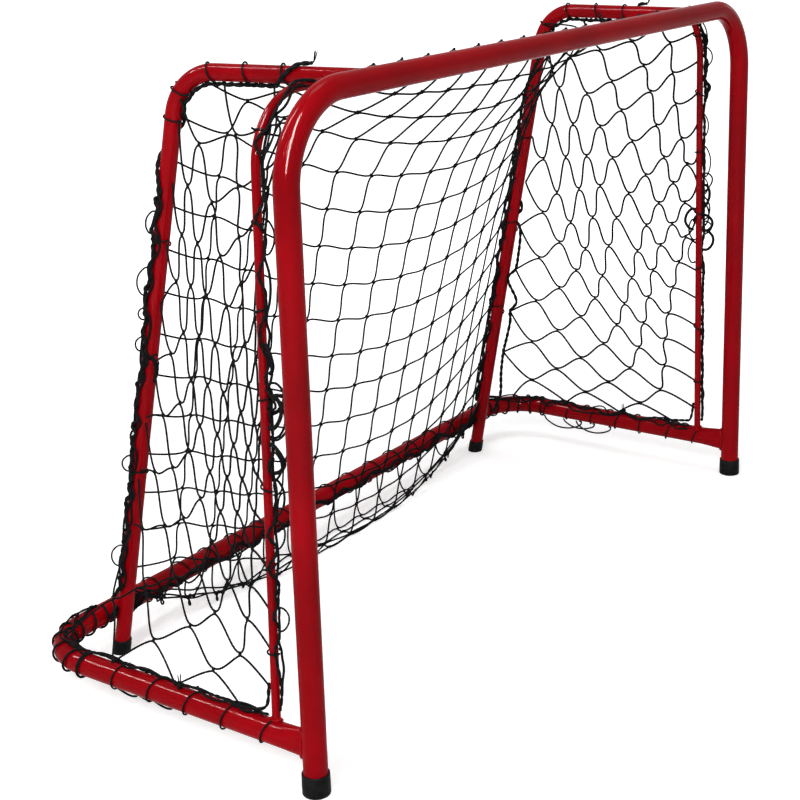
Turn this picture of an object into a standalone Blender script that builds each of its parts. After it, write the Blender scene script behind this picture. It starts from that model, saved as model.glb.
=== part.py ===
"""Floorball goal: a welded frame of red tubes on rubber feet, hung with a knotted net.

Metres, +Z up. The mouth faces -Y. The frame is laid out from the plane of the front hoop, and one
empty then moves the whole goal so that its origin is below the middle of its bounds.
"""

import math

import bmesh
import bpy
import numpy as np
from mathutils import Matrix, Vector

# The hoop and the base loop are bent from the same tube.
TUBE_RADIUS = 0.011
TUBE_WALL = 0.0015

# Front hoop: two posts and a crossbar in one.
HOOP_RADIUS = TUBE_RADIUS
POST_AXIS_X = 0.439
CROSSBAR_AXIS_Z = 0.6032
HOOP_BEND = 0.075

# Base loop: one tube bent round the sides and the rear, just above the floor.
BASE_RADIUS = TUBE_RADIUS
BASE_AXIS_Z = 0.0447
BASE_REAR_Y = 0.3426
BASE_BEND = 0.058
BASE_END_HALF_HEIGHT = 0.0135
BASE_END_HALF_WIDTH = 0.007
BASE_END_FLARE = 0.030

# Side legs: level behind the crossbar, then down to the floor inside the rear tube.
LEG_RADIUS = 0.008
LEG_WALL = 0.0012
LEG_TOP_X = 0.3105
LEG_CORNER_X = 0.3304
LEG_CORNER_Y = 0.2085
LEG_FOOT_X = 0.3419
LEG_BEND = 0.050

# Net rods: solid rods on which the front edge of the net is laced.
ROD_RADIUS = 0.004
ROD_Y = 0.0444
ROD_FOOT_X = 0.4356
ROD_TOP_X = 0.4209
ROD_DROP = 0.003
ROD_BEND = 0.060

# Rubber feet.
FRONT_CAP_WALL = 0.0014
FRONT_CAP_HEIGHT = 0.020
REAR_CAP_WALL = 0.0011
REAR_CAP_HEIGHT = 0.0155
CAP_FLOOR = 0.004
CAP_EDGE = 0.0008

# Welds and the clearance between touching pieces.
WELD_WIDTH = 0.0019
CROSS_WELD_INNER = 0.0045
CROSS_WELD_OUTER = 0.0070
CLEARANCE = 0.0003
ROD_GAP = 0.0005

# Net: cord thickness, counts of gaps, and how far its edge cords lie off the tubes. The roof, the
# back and the fold are one sheet of net, wider and longer than the frame, so it hangs slack.
NET_CORD = 0.002
EDGE_SLACK = 0.0002
EDGE_BOW = 0.0008
NET_COLUMNS = 12
ROOF_ROWS = 3
BACK_ROWS = 10
FOLD_ROWS = 2
SIDE_COLUMNS = 5
SHEET_WIDTH = 0.678
SHEET_LENGTH = 0.775
SIDE_SLACK = 0.035
ROOF_REAR_SHARE = 0.5
LEG_LACED_TO = 0.054
REAR_ATTACH_ANGLE = 200.0
REAR_CLEARANCE = 0.008
SIDE_REAR_INSET = 0.0125

# How the net is let fall: steps of time, and passes over its cords in each.
GRAVITY = 9.81
FALL_STEP = 0.01
FALL_STEPS = 240
FALL_PASSES = 16
FALL_DAMPING = 0.96

# Lacing: points to a turn, the play it has round a tube, and how many net gaps one turn spans.
LACING_CORD = 0.002
LACING_POINTS = 6
LACING_PLAY = 0.0005
LACING_REACH = 0.0008
LACING_START = 0.2
LEG_ROWS_PER_TURN = 2
ROD_ROWS_PER_TURN = 2
TOP_COLUMNS_PER_TURN = 2

HOOP_SIDES = 16
LEG_SIDES = 12
ROD_SIDES = 10
BEND_STEPS = 7
FINE_STEPS = 24
WELD_STEPS = 16

RED = (0.46, 0.004, 0.012, 1.0)
RUBBER = (0.012, 0.012, 0.013, 1.0)
CORD = (0.010, 0.010, 0.011, 1.0)

X = Vector((1, 0, 0))
Y = Vector((0, 1, 0))
Z = Vector((0, 0, 1))


def clear_scene():
    for old in list(bpy.data.objects):
        bpy.data.objects.remove(old, do_unlink=True)


def material_for(name, colour, roughness, metallic):
    material = bpy.data.materials.new(name)
    material.use_nodes = True
    shader = material.node_tree.nodes["Principled BSDF"]
    shader.inputs["Base Color"].default_value = colour
    shader.inputs["Roughness"].default_value = roughness
    shader.inputs["Metallic"].default_value = metallic
    return material


def add_object(name, data, look):
    """Links a mesh or a curve as one piece of the goal, with a material of its own."""
    obj = bpy.data.objects.new(name, data)
    obj.parent = GOAL
    data.materials.append(material_for(name, *look))
    bpy.context.scene.collection.objects.link(obj)
    return obj


def add_mesh(name, bm, look, smooth=True):
    bmesh.ops.recalc_face_normals(bm, faces=bm.faces)
    mesh = bpy.data.meshes.new(name)
    bm.to_mesh(mesh)
    bm.free()
    if smooth:
        mesh.shade_smooth()
        mesh.set_sharp_from_angle(angle=math.radians(40))
    return add_object(name, mesh, look)


def bent_path(corners, bends, steps):
    """A run of straight lines through the corners, each inner corner rounded to its bend radius."""
    points = [corners[0]]
    for before, corner, after, radius in zip(corners, corners[1:], corners[2:], bends):
        back = (before - corner).normalized()
        on = (after - corner).normalized()
        half = back.angle(on) / 2
        middle = corner + (back + on).normalized() * (radius / math.sin(half))
        start = corner + back * (radius / math.tan(half))
        end = corner + on * (radius / math.tan(half))
        arm = start - middle
        axis = arm.cross(end - middle).normalized()
        sweep = arm.angle(end - middle)
        for step in range(steps + 1):
            points.append(middle + Matrix.Rotation(sweep * step / steps, 3, axis) @ arm)
    points.append(corners[-1])
    return points


class Route:
    """A path that is read by the length along it."""

    def __init__(self, points):
        self.points = points
        self.marks = [0.0]
        for a, b in zip(points, points[1:]):
            self.marks.append(self.marks[-1] + (b - a).length)
        self.length = self.marks[-1]

    def at(self, s):
        """The point and the direction at length s."""
        last = len(self.points) - 2
        i = 0
        while i < last and self.marks[i + 1] < s:
            i += 1
        a, b = self.points[i], self.points[i + 1]
        step = self.marks[i + 1] - self.marks[i]
        return a.lerp(b, (s - self.marks[i]) / step), (b - a).normalized()

    def nearest(self, target):
        """The length at which the path passes closest to a point."""
        best = (1e9, 0.0)
        for i, (a, b) in enumerate(zip(self.points, self.points[1:])):
            step = b - a
            t = min(1.0, max(0.0, (target - a).dot(step) / step.length_squared))
            best = min(best, ((target - a.lerp(b, t)).length, self.marks[i] + t * step.length))
        return best[1]


def across(direction, towards):
    """The part of a direction that is square to another, at unit length."""
    return (towards - direction * towards.dot(direction)).normalized()


def meet_tube(point, direction, axis_point, axis, radius):
    """How far to go from a point to the far side of a tube, or to its middle if it passes beside it."""
    off = point - axis_point
    off = off - axis * off.dot(axis)
    way = direction - axis * direction.dot(axis)
    square = way.length_squared
    ahead = off.dot(way)
    under = ahead * ahead - square * (off.length_squared - radius * radius)
    return (-ahead + math.sqrt(max(under, 0.0))) / square


def meet_level(point, direction, height):
    return (height - point.z) / direction.z


def skin_rings(bm, points, sides, up, size_at, trims):
    """Rings of vertices along a path, with each end trimmed to what it meets."""
    rings = []
    last = len(points) - 1
    for i, point in enumerate(points):
        before = points[max(i - 1, 0)]
        after = points[min(i + 1, last)]
        along = (after - before).normalized()
        top = across(along, up)
        side = along.cross(top)
        half_side, half_top = size_at(i)
        ring = []
        for k in range(sides):
            turn = 2 * math.pi * (k + 0.5) / sides
            place = point + side * (half_side * math.cos(turn)) + top * (half_top * math.sin(turn))
            if i == 0 and trims[0]:
                place = place + along * trims[0](place, along)
            if i == last and trims[1]:
                place = place - along * trims[1](place, -along)
            ring.append(bm.verts.new(place))
        rings.append(ring)
    return rings


def join_rings(bm, rings):
    for a, b in zip(rings, rings[1:]):
        for k in range(len(a)):
            j = (k + 1) % len(a)
            bm.faces.new((a[k], a[j], b[j], b[k]))


def make_tube(name, points, up, sides, radius, wall, look, trims=(None, None), size_at=None):
    """A round tube or rod along a path, open at both ends where it has a wall."""
    if size_at is None:
        def size_at(i):
            return radius, radius
    bm = bmesh.new()
    outer = skin_rings(bm, points, sides, up, size_at, trims)
    join_rings(bm, outer)
    if wall:
        def inner_size(i):
            half_side, half_top = size_at(i)
            return half_side - wall, half_top - wall
        inner = skin_rings(bm, points, sides, up, inner_size, trims)
        join_rings(bm, inner)
        join_rings(bm, [outer[0], inner[0]])
        join_rings(bm, [outer[-1], inner[-1]])
    else:
        for ring, trim, way in ((outer[0], trims[0], points[1] - points[0]),
                                (outer[-1], trims[1], points[-2] - points[-1])):
            middle = points[0] if ring is outer[0] else points[-1]
            way = way.normalized()
            hub = bm.verts.new(middle + way * trim(middle, way))
            for a, b in zip(ring, ring[1:] + ring[:1]):
                bm.faces.new((a, b, hub))
    return add_mesh(name, bm, look)


def make_cap(name, foot, lean, bore, outer, height, top_bore):
    """A rubber cup round the end of a tube. Its rings lie level and follow the lean of the tube."""
    profile = (
        (0.0, 0.0),
        (outer - CAP_EDGE, 0.0),
        (outer, CAP_EDGE),
        (outer, height - CAP_EDGE),
        (outer - CAP_EDGE * 0.5, height),
        (top_bore, height),
        (bore, height - CAP_EDGE),
        (bore, CAP_FLOOR),
        (0.0, CAP_FLOOR),
    )
    bm = bmesh.new()
    rings = []
    for radius, z in profile:
        centre = foot + lean * z
        if radius == 0.0:
            rings.append(bm.verts.new(centre))
            continue
        rings.append([
            bm.verts.new(centre + Vector((math.cos(a), math.sin(a), 0)) * radius)
            for a in (2 * math.pi * (k + 0.5) / HOOP_SIDES for k in range(HOOP_SIDES))
        ])
    for k in range(HOOP_SIDES):
        j = (k + 1) % HOOP_SIDES
        bm.faces.new((rings[0], rings[1][j], rings[1][k]))
        bm.faces.new((rings[-1], rings[-2][k], rings[-2][j]))
    join_rings(bm, rings[1:-1])
    return add_mesh(name, bm, (RUBBER, 0.7, 0.0))


def make_bead(name, start, direction, half_up, half_side, axis_point, axis, radius):
    """A weld round the end of a tube that butts against another: a fillet in the corner between them."""
    up = across(direction, axis)
    side = direction.cross(up)
    near = radius + CLEARANCE
    rings = []
    bm = bmesh.new()
    for step in range(WELD_STEPS):
        turn = 2 * math.pi * step / WELD_STEPS
        out = up * math.cos(turn) * (half_up + CLEARANCE) + side * math.sin(turn) * (half_side + CLEARANCE)
        wide = out + out.normalized() * WELD_WIDTH
        inner = start + out
        outer = start + wide
        corner = inner + direction * meet_tube(inner, direction, axis_point, axis, near)
        spread = outer + direction * meet_tube(outer, direction, axis_point, axis, near)
        climb = corner + direction * WELD_WIDTH
        bulge = (spread + climb) / 2 + (out.normalized() + direction) * (WELD_WIDTH * 0.18)
        rings.append([bm.verts.new(p) for p in (corner, spread, bulge, climb)])
    join_rings(bm, rings + [rings[0]])
    return add_mesh(name, bm, (RED, 0.35, 0.0))


def make_cross_bead(name, contact, normal, low_axis, low_radius, high_axis, high_radius):
    """A weld ring in the wedge round the point where two crossing tubes touch side by side."""
    first = across(normal, low_axis)
    second = normal.cross(first)

    def gap_side(place, axis, radius, sign):
        flat = place - contact
        lateral = flat - axis * flat.dot(axis)
        near = radius + CLEARANCE
        drop = near - math.sqrt(near * near - lateral.length_squared)
        return place - normal * sign * (drop - CLEARANCE * 0.5)

    bm = bmesh.new()
    rings = []
    for step in range(WELD_STEPS):
        turn = 2 * math.pi * step / WELD_STEPS
        out = first * math.cos(turn) + second * math.sin(turn)
        inner = contact + out * CROSS_WELD_INNER
        outer = contact + out * CROSS_WELD_OUTER
        ring = (
            gap_side(inner, low_axis, low_radius, 1),
            gap_side(outer, low_axis, low_radius, 1),
            gap_side(outer, high_axis, high_radius, -1),
            gap_side(inner, high_axis, high_radius, -1),
        )
        rings.append([bm.verts.new(p) for p in ring])
    join_rings(bm, rings + [rings[0]])
    return add_mesh(name, bm, (RED, 0.35, 0.0))


def blended_patch(top, bottom, left, right):
    """A surface read by u across and v down, which holds all four of its edges."""
    corners = top(0.0), top(1.0), bottom(0.0), bottom(1.0)

    def place(u, v):
        rows = top(u) * (1 - v) + bottom(u) * v
        columns = left(v) * (1 - u) + right(v) * u
        both = corners[0] * (1 - u) * (1 - v) + corners[1] * u * (1 - v)
        both = both + corners[2] * (1 - u) * v + corners[3] * u * v
        return rows + columns - both

    return place


def hang(grid, held, across, down, keep_clear=None):
    """Lets a grid of knots fall. The cords between them, of given lengths, go slack but never stretch."""
    free = np.where(held, 0.0, 1.0)[..., None]
    fall = free * np.array([0.0, 0.0, -GRAVITY * FALL_STEP ** 2])
    links = []
    for odd in (0, 1):
        last = grid.shape[0] - 1
        links.append((np.s_[odd:last:2, :], np.s_[odd + 1:last + 1:2, :], across[odd::2]))
        last = grid.shape[1] - 1
        links.append((np.s_[:, odd:last:2], np.s_[:, odd + 1:last + 1:2], down[:, odd::2]))
    speed = np.zeros_like(grid)
    for _ in range(FALL_STEPS):
        moved = grid + speed + fall
        for _ in range(FALL_PASSES):
            for first, second, length in links:
                gap = moved[second] - moved[first]
                far = np.linalg.norm(gap, axis=-1, keepdims=True)
                share = np.maximum(free[first] + free[second], 1e-6)
                pull = gap * np.maximum(far - length[..., None], 0) / (far * share)
                moved[first] += pull * free[first]
                moved[second] -= pull * free[second]
            if keep_clear:
                keep_clear(moved)
        speed = (moved - grid) * FALL_DAMPING * free
        grid = moved
    return grid


def link_lengths(grid):
    """The lengths of the cords of a grid as it stands, across and down."""
    return np.linalg.norm(np.diff(grid, axis=0), axis=-1), np.linalg.norm(np.diff(grid, axis=1), axis=-1)


def make_net(name, grid, edges=(None, None, None, None)):
    """A net of square gaps. Edges read its top, bottom, left and right where those are curved."""
    columns, rows = grid.shape[0] - 1, grid.shape[1] - 1
    top, bottom, left, right = edges
    bm = bmesh.new()
    knots = {(i, j): bm.verts.new(grid[i, j]) for i in range(columns + 1) for j in range(rows + 1)}

    def bowed(a, b, start, end, edge):
        """The vertices between two knots on an edge that bows out, read from one share of it to another."""
        if edge is None:
            return []
        bow = (edge((start + end) / 2) - (knots[a].co + knots[b].co) / 2).length
        steps = 1 + (bow > EDGE_BOW) + (bow > EDGE_BOW * 3)
        return [bm.verts.new(edge(start + (end - start) * step / steps)) for step in range(1, steps)]

    for j in range(rows):
        for i in range(columns):
            near, far = i / columns, (i + 1) / columns
            high, low = j / rows, (j + 1) / rows
            loop = [knots[i, j]]
            loop += bowed((i, j), (i + 1, j), near, far, top if j == 0 else None)
            loop.append(knots[i + 1, j])
            loop += bowed((i + 1, j), (i + 1, j + 1), high, low, right if i == columns - 1 else None)
            loop.append(knots[i + 1, j + 1])
            loop += bowed((i + 1, j + 1), (i, j + 1), far, near, bottom if j == rows - 1 else None)
            loop.append(knots[i, j + 1])
            loop += bowed((i, j + 1), (i, j), low, high, left if i == 0 else None)
            bm.faces.new(loop)
    obj = add_mesh(name, bm, (CORD, 0.85, 0.0), smooth=False)
    strands = obj.modifiers.new("Strands", "WIREFRAME")
    strands.thickness = NET_CORD
    strands.offset = 0.0
    strands.use_boundary = True
    strands.use_replace = True
    strands.use_even_offset = False
    return obj


def make_lacing(name, route, facing, length_at, gaps, per_turn, first_gap, tube_radius, held):
    """A cord wound round a tube and over the edge cords of the net.

    It is laid out in gaps of the net, whose knots length_at finds on the route. It faces the net in
    the middle of a gap, first of the one named first_gap, and each turn spans per_turn gaps. Held
    lists the corners of a turn that reach out over an edge cord.
    """
    middle = first_gap + 0.5
    first = math.ceil((LACING_START - middle) / per_turn * LACING_POINTS)
    final = math.floor((gaps - LACING_START - middle) / per_turn * LACING_POINTS)
    points = []
    for k in range(first, final + 1):
        point, along = route.at(length_at(middle + per_turn * k / LACING_POINTS))
        out = across(along, facing)
        side = along.cross(out)
        turn = 2 * math.pi * k / LACING_POINTS
        radius = lacing_reach(tube_radius) if k % LACING_POINTS in held else lacing_off(tube_radius)
        points.append(point + (out * math.cos(turn) + side * math.sin(turn)) * radius)
    curve = bpy.data.curves.new(name, "CURVE")
    curve.dimensions = "3D"
    curve.bevel_depth = LACING_CORD / 2
    curve.bevel_resolution = 1
    curve.use_fill_caps = True
    spline = curve.splines.new("POLY")
    spline.points.add(len(points) - 1)
    for knot, point in zip(spline.points, points):
        knot.co = (point.x, point.y, point.z, 1.0)
    print(name, "least gap to itself, mm:", round(least_gap(points) * 1000, 2))
    return add_object(name, curve, (CORD, 0.85, 0.0))


def lacing_off(tube_radius):
    """The distance from a tube's axis to a corner of the lacing round it."""
    return (tube_radius + CLEARANCE + LACING_PLAY + LACING_CORD / 2) / math.cos(math.pi / LACING_POINTS)


def lacing_reach(tube_radius):
    """The same, where the corner lies over an edge cord of the net."""
    return edge_off(tube_radius) + NET_CORD / 2 + CLEARANCE + LACING_CORD / 2 + LACING_REACH


def least_gap(points):
    """The least distance between turns of a cord, less its thickness, measured on points along it."""
    dense = []
    for a, b in zip(points, points[1:]):
        dense += [a.lerp(b, t / 4) for t in range(4)]
    skip = 4 * LACING_POINTS // 2
    least = 1.0
    for i, a in enumerate(dense):
        for b in dense[i + skip:]:
            least = min(least, (a - b).length)
    return least - LACING_CORD


def edge_off(tube_radius):
    """The distance from a tube's axis to the axis of an edge cord laid along it."""
    return tube_radius + CLEARANCE + NET_CORD / 2 + EDGE_SLACK


clear_scene()
GOAL = bpy.data.objects.new("goal", None)
bpy.context.scene.collection.objects.link(GOAL)
RED_LOOK = (RED, 0.28, 0.0)

# Where the pieces lie, worked out from the sizes.
hoop_cut = CAP_FLOOR + CLEARANCE
butt = HOOP_RADIUS + CLEARANCE
front_cap_radius = butt + FRONT_CAP_WALL
rod_z = CROSSBAR_AXIS_Z - ROD_DROP

# The side leg leans so that it just touches the rear tube from inside.
leg_drop = CROSSBAR_AXIS_Z - BASE_AXIS_Z
leg_back = BASE_REAR_Y - LEG_CORNER_Y
touch = BASE_RADIUS + LEG_RADIUS + CLEARANCE
leg_lean = math.atan2(leg_back, leg_drop) - math.asin(touch / math.hypot(leg_back, leg_drop))
LEG_FOOT_Y = LEG_CORNER_Y + CROSSBAR_AXIS_Z * math.tan(leg_lean)


def leg_corners(hand):
    return [
        Vector((hand * LEG_TOP_X, 0.0, CROSSBAR_AXIS_Z)),
        Vector((hand * LEG_CORNER_X, LEG_CORNER_Y, CROSSBAR_AXIS_Z)),
        Vector((hand * LEG_FOOT_X, LEG_FOOT_Y, 0.0)),
    ]


def top_tube_x(y):
    return LEG_TOP_X + (LEG_CORNER_X - LEG_TOP_X) * y / LEG_CORNER_Y


def rod_corners(hand):
    return [
        Vector((hand * ROD_FOOT_X, ROD_Y, BASE_AXIS_Z)),
        Vector((hand * ROD_TOP_X, ROD_Y, rod_z)),
        Vector((hand * top_tube_x(ROD_Y), ROD_Y, rod_z)),
    ]


def to_tube(axis_point, axis, radius, gap=CLEARANCE):
    """A trim that stops a tube's end just short of another tube."""
    def trim(place, along):
        return meet_tube(place, along, axis_point, axis, radius + gap)
    return trim


def to_level(height):
    def trim(place, along):
        return meet_level(place, along, height)
    return trim


# Front hoop.
hoop_path = bent_path(
    [
        Vector((-POST_AXIS_X, 0, hoop_cut)),
        Vector((-POST_AXIS_X, 0, CROSSBAR_AXIS_Z)),
        Vector((POST_AXIS_X, 0, CROSSBAR_AXIS_Z)),
        Vector((POST_AXIS_X, 0, hoop_cut)),
    ],
    [HOOP_BEND, HOOP_BEND],
    BEND_STEPS,
)
make_tube("front_hoop", hoop_path, Y, HOOP_SIDES, HOOP_RADIUS, TUBE_WALL, RED_LOOK)

# Base loop, with its front ends flattened against the posts.
base_corners = [
    Vector((-POST_AXIS_X, 0, BASE_AXIS_Z)),
    Vector((-POST_AXIS_X, BASE_REAR_Y, BASE_AXIS_Z)),
    Vector((POST_AXIS_X, BASE_REAR_Y, BASE_AXIS_Z)),
    Vector((POST_AXIS_X, 0, BASE_AXIS_Z)),
]
flare = [butt + BASE_END_FLARE * t for t in (0.0, 0.35, 0.7, 1.0)]
base_bends = bent_path(base_corners, [BASE_BEND, BASE_BEND], BEND_STEPS)[1:-1]
base_path = [Vector((-POST_AXIS_X, y, BASE_AXIS_Z)) for y in flare]
base_path[0].y = 0.0
base_path += base_bends
base_path += [Vector((POST_AXIS_X, y, BASE_AXIS_Z)) for y in reversed(flare)]
base_path[-1].y = 0.0


def base_size(i):
    """Half width and half height of the base tube, flattened towards its ends."""
    step = min(i, len(base_path) - 1 - i)
    t = (0.0, 0.35, 0.7, 1.0)[min(step, 3)]
    blend = t * t * (3 - 2 * t)
    half_side = BASE_END_HALF_WIDTH + (BASE_RADIUS - BASE_END_HALF_WIDTH) * blend
    half_top = BASE_END_HALF_HEIGHT + (BASE_RADIUS - BASE_END_HALF_HEIGHT) * blend
    return half_side, half_top


base_trims = [to_tube(Vector((h * POST_AXIS_X, 0, 0)), Z, HOOP_RADIUS) for h in (-1, 1)]
make_tube("base_loop", base_path, Z, HOOP_SIDES, BASE_RADIUS, TUBE_WALL, RED_LOOK, base_trims, base_size)

crossbar_trim = to_tube(Vector((0, 0, CROSSBAR_AXIS_Z)), X, HOOP_RADIUS)
for hand, side in ((-1, "left"), (1, "right")):
    post_foot = Vector((hand * POST_AXIS_X, 0, 0))
    corners = leg_corners(hand)
    top_way = (corners[1] - corners[0]).normalized()
    down_way = (corners[2] - corners[1]).normalized()

    # Side leg.
    make_tube(side + "_side_leg", bent_path(corners, [LEG_BEND], BEND_STEPS), X, LEG_SIDES, LEG_RADIUS,
              LEG_WALL, RED_LOOK, (crossbar_trim, to_level(hoop_cut)))

    # Side net rod.
    rods = rod_corners(hand)
    base_axis_point = Vector((hand * POST_AXIS_X, 0, BASE_AXIS_Z))
    rod_path = bent_path(rods, [ROD_BEND], BEND_STEPS)
    rod_trims = (
        to_tube(base_axis_point, Y, BASE_RADIUS, ROD_GAP),
        to_tube(corners[0], top_way, LEG_RADIUS, ROD_GAP),
    )
    make_tube("net_rod_" + side, rod_path, Y, ROD_SIDES, ROD_RADIUS, 0, RED_LOOK, rod_trims)

    # Rubber feet.
    make_cap("front_" + side + "_foot", post_foot, Z, butt, front_cap_radius, FRONT_CAP_HEIGHT,
             butt + CLEARANCE * 0.5)
    lean = down_way / down_way.z
    level_bore = (LEG_RADIUS + CLEARANCE) / abs(down_way.z)
    make_cap("rear_" + side + "_foot", corners[2], lean, level_bore, level_bore + REAR_CAP_WALL,
             REAR_CAP_HEIGHT, level_bore + CLEARANCE * 0.5)

    # Welds.
    make_bead("base_weld_" + side, base_axis_point, Y, BASE_END_HALF_HEIGHT, BASE_END_HALF_WIDTH,
              post_foot, Z, HOOP_RADIUS)
    make_bead("leg_top_weld_" + side, corners[0], top_way, LEG_RADIUS, LEG_RADIUS,
              Vector((0, 0, CROSSBAR_AXIS_Z)), X, HOOP_RADIUS)
    rod_up = (rods[1] - rods[0]).normalized()
    make_bead("rod_foot_weld_" + side, rods[0], rod_up, ROD_RADIUS, ROD_RADIUS, base_axis_point, Y,
              BASE_RADIUS)
    make_bead("rod_corner_weld_" + side, rods[2], X * hand, ROD_RADIUS, ROD_RADIUS, corners[0], top_way,
              LEG_RADIUS)
    make_bead("rod_top_weld_" + side, rods[2], X * -hand, ROD_RADIUS, ROD_RADIUS, corners[0], top_way,
              LEG_RADIUS)
    crossing_z = BASE_AXIS_Z - touch * math.sin(leg_lean)
    on_leg = corners[1] + down_way * ((crossing_z - CROSSBAR_AXIS_Z) / down_way.z)
    normal = across(down_way, Y)
    contact = on_leg + normal * (LEG_RADIUS + CLEARANCE / 2)
    make_cross_bead("leg_base_weld_" + side, contact, normal, down_way, LEG_RADIUS, X, BASE_RADIUS)

# Top net rod, between the side legs.
left_top, right_top = leg_corners(-1), leg_corners(1)
top_ends = [rod_corners(-1)[2], rod_corners(1)[2]]
top_trims = [
    to_tube(corners[0], (corners[1] - corners[0]).normalized(), LEG_RADIUS, ROD_GAP)
    for corners in (left_top, right_top)
]
make_tube("net_rod_top", top_ends, Z, ROD_SIDES, ROD_RADIUS, 0, RED_LOOK, top_trims)

# Routes on which the net is hung.
leg_routes = {h: Route(bent_path(leg_corners(h), [LEG_BEND], FINE_STEPS)) for h in (-1, 1)}
rod_routes = {h: Route(bent_path(rod_corners(h), [ROD_BEND], FINE_STEPS)) for h in (-1, 1)}
base_route = Route(bent_path(base_corners, [BASE_BEND, BASE_BEND], FINE_STEPS))
top_route = Route(top_ends)
leg_edge = edge_off(LEG_RADIUS)
rod_edge = edge_off(ROD_RADIUS)
base_edge = edge_off(BASE_RADIUS)

# Lengths along a side leg: where the roof starts, where it meets the back, and where the back ends.
straight = (leg_corners(1)[1] - leg_corners(1)[0]).length
bend_angle = math.pi / 2 - leg_lean
arc = LEG_BEND * bend_angle
bend_start = straight - LEG_BEND * math.tan(bend_angle / 2)
weld_off = WELD_WIDTH + EDGE_SLACK
roof_start = leg_routes[1].nearest(Vector((top_tube_x(ROD_Y), ROD_Y + rod_edge + weld_off, CROSSBAR_AXIS_Z)))
roof_end = bend_start + arc * ROOF_REAR_SHARE
leg_low_y = LEG_CORNER_Y + (CROSSBAR_AXIS_Z - LEG_LACED_TO) * math.tan(leg_lean)
back_end = leg_routes[1].nearest(Vector((LEG_FOOT_X, leg_low_y, LEG_LACED_TO)))
seam = NET_CORD + CLEARANCE * 2


def leg_length_at(r):
    """The length along a side leg of a row of the net, counted from the front of the roof."""
    if r < ROOF_ROWS:
        return roof_start + (roof_end - roof_start) * r / ROOF_ROWS
    return roof_end + (back_end - roof_end) * (r - ROOF_ROWS) / BACK_ROWS


def beside_leg(hand, s, outward):
    """A point level with the leg's axis, off to one side of it."""
    point, along = leg_routes[hand].at(s)
    return point + across(along, X * hand) * (leg_edge * outward)


def sheet_side(hand, first_row, rows, start=0.0):
    """The edge of some rows of the sheet along a side leg. It starts a little late, below a seam."""
    def edge(v):
        s = leg_length_at(first_row + rows * v)
        if v * rows < 1.0:
            s += start * (1.0 - v * rows)
        return beside_leg(hand, s, -1)
    return edge


# The sheet is held along the top rod, both side legs and the rear tube.
rear_angle = math.radians(REAR_ATTACH_ANGLE)
rear_hang = Vector((0, math.cos(rear_angle), math.sin(rear_angle)))
rear_edge_place = Vector((0, BASE_REAR_Y, BASE_AXIS_Z)) + rear_hang * base_edge
laced_rows = ROOF_ROWS + BACK_ROWS
sheet_rows = laced_rows + FOLD_ROWS
sheet_edge = {h: sheet_side(h, 0, laced_rows) for h in (-1, 1)}
rear_half_width = sheet_edge[1](1.0).x
floor_z = NET_CORD / 2 + CLEARANCE * 2


def sheet_start():
    """The knots of the sheet before it falls, and which of them are held."""
    grid = np.zeros((NET_COLUMNS + 1, sheet_rows + 1, 3))
    held = np.zeros(grid.shape[:2], bool)
    shares = np.linspace(0, 1, NET_COLUMNS + 1)[:, None]
    for j in range(sheet_rows + 1):
        left, right = (np.array(sheet_edge[h](min(j / laced_rows, 1.0))) for h in (-1, 1))
        grid[:, j] = left + (right - left) * shares
    for i, u in enumerate(np.linspace(-1, 1, NET_COLUMNS + 1)):
        grid[i, sheet_rows] = (rear_half_width * u, rear_edge_place.y, rear_edge_place.z)
    grid[1:-1, 0, 1] = ROD_Y + rod_edge
    grid[1:-1, 0, 2] = rod_z
    for j in range(laced_rows + 1, sheet_rows):
        t = (j - laced_rows) / FOLD_ROWS
        grid[:, j] = grid[:, laced_rows] * (1 - t) + grid[:, sheet_rows] * t
        grid[:, j, 2] = floor_z
    held[:, [0, -1]] = True
    held[[0, -1], :laced_rows + 1] = True
    return grid, held


def keep_sheet_clear(knots):
    """Keeps the fallen sheet above the floor and in front of the rear tube."""
    inner = knots[:, 1:-1]
    inner[..., 2] = np.maximum(inner[..., 2], floor_z)
    limit = np.where(inner[..., 2] < BASE_AXIS_Z + base_edge * 2, rear_edge_place.y - REAR_CLEARANCE, 1.0)
    limit[[0, -1], :laced_rows] = 1.0
    inner[..., 1] = np.minimum(inner[..., 1], limit)


sheet, sheet_held = sheet_start()
sheet = hang(
    sheet, sheet_held, np.full((NET_COLUMNS, sheet_rows + 1), SHEET_WIDTH / NET_COLUMNS),
    np.full((NET_COLUMNS + 1, sheet_rows), SHEET_LENGTH / sheet_rows), keep_sheet_clear,
)


def sheet_part(name, first_row, rows, laced):
    """Some rows of the sheet as a net of its own, which starts just below the part above it."""
    grid = sheet[:, first_row:first_row + rows + 1].copy()
    if first_row:
        way = grid[:, 1] - grid[:, 0]
        grid[:, 0] += way / np.linalg.norm(way, axis=-1, keepdims=True) * seam
    edges = (None, None, None, None)
    if laced:
        sides = [sheet_side(h, first_row, rows, seam if first_row else 0.0) for h in (-1, 1)]
        if first_row:
            grid[0, 0], grid[-1, 0] = sides[0](0.0), sides[1](0.0)
        edges = (None, None, sides[0], sides[1])
    make_net(name, grid, edges)


sheet_part("net_roof", 0, ROOF_ROWS, True)
sheet_part("net_back", ROOF_ROWS, BACK_ROWS, True)
sheet_part("net_fold", laced_rows, FOLD_ROWS, False)

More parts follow.
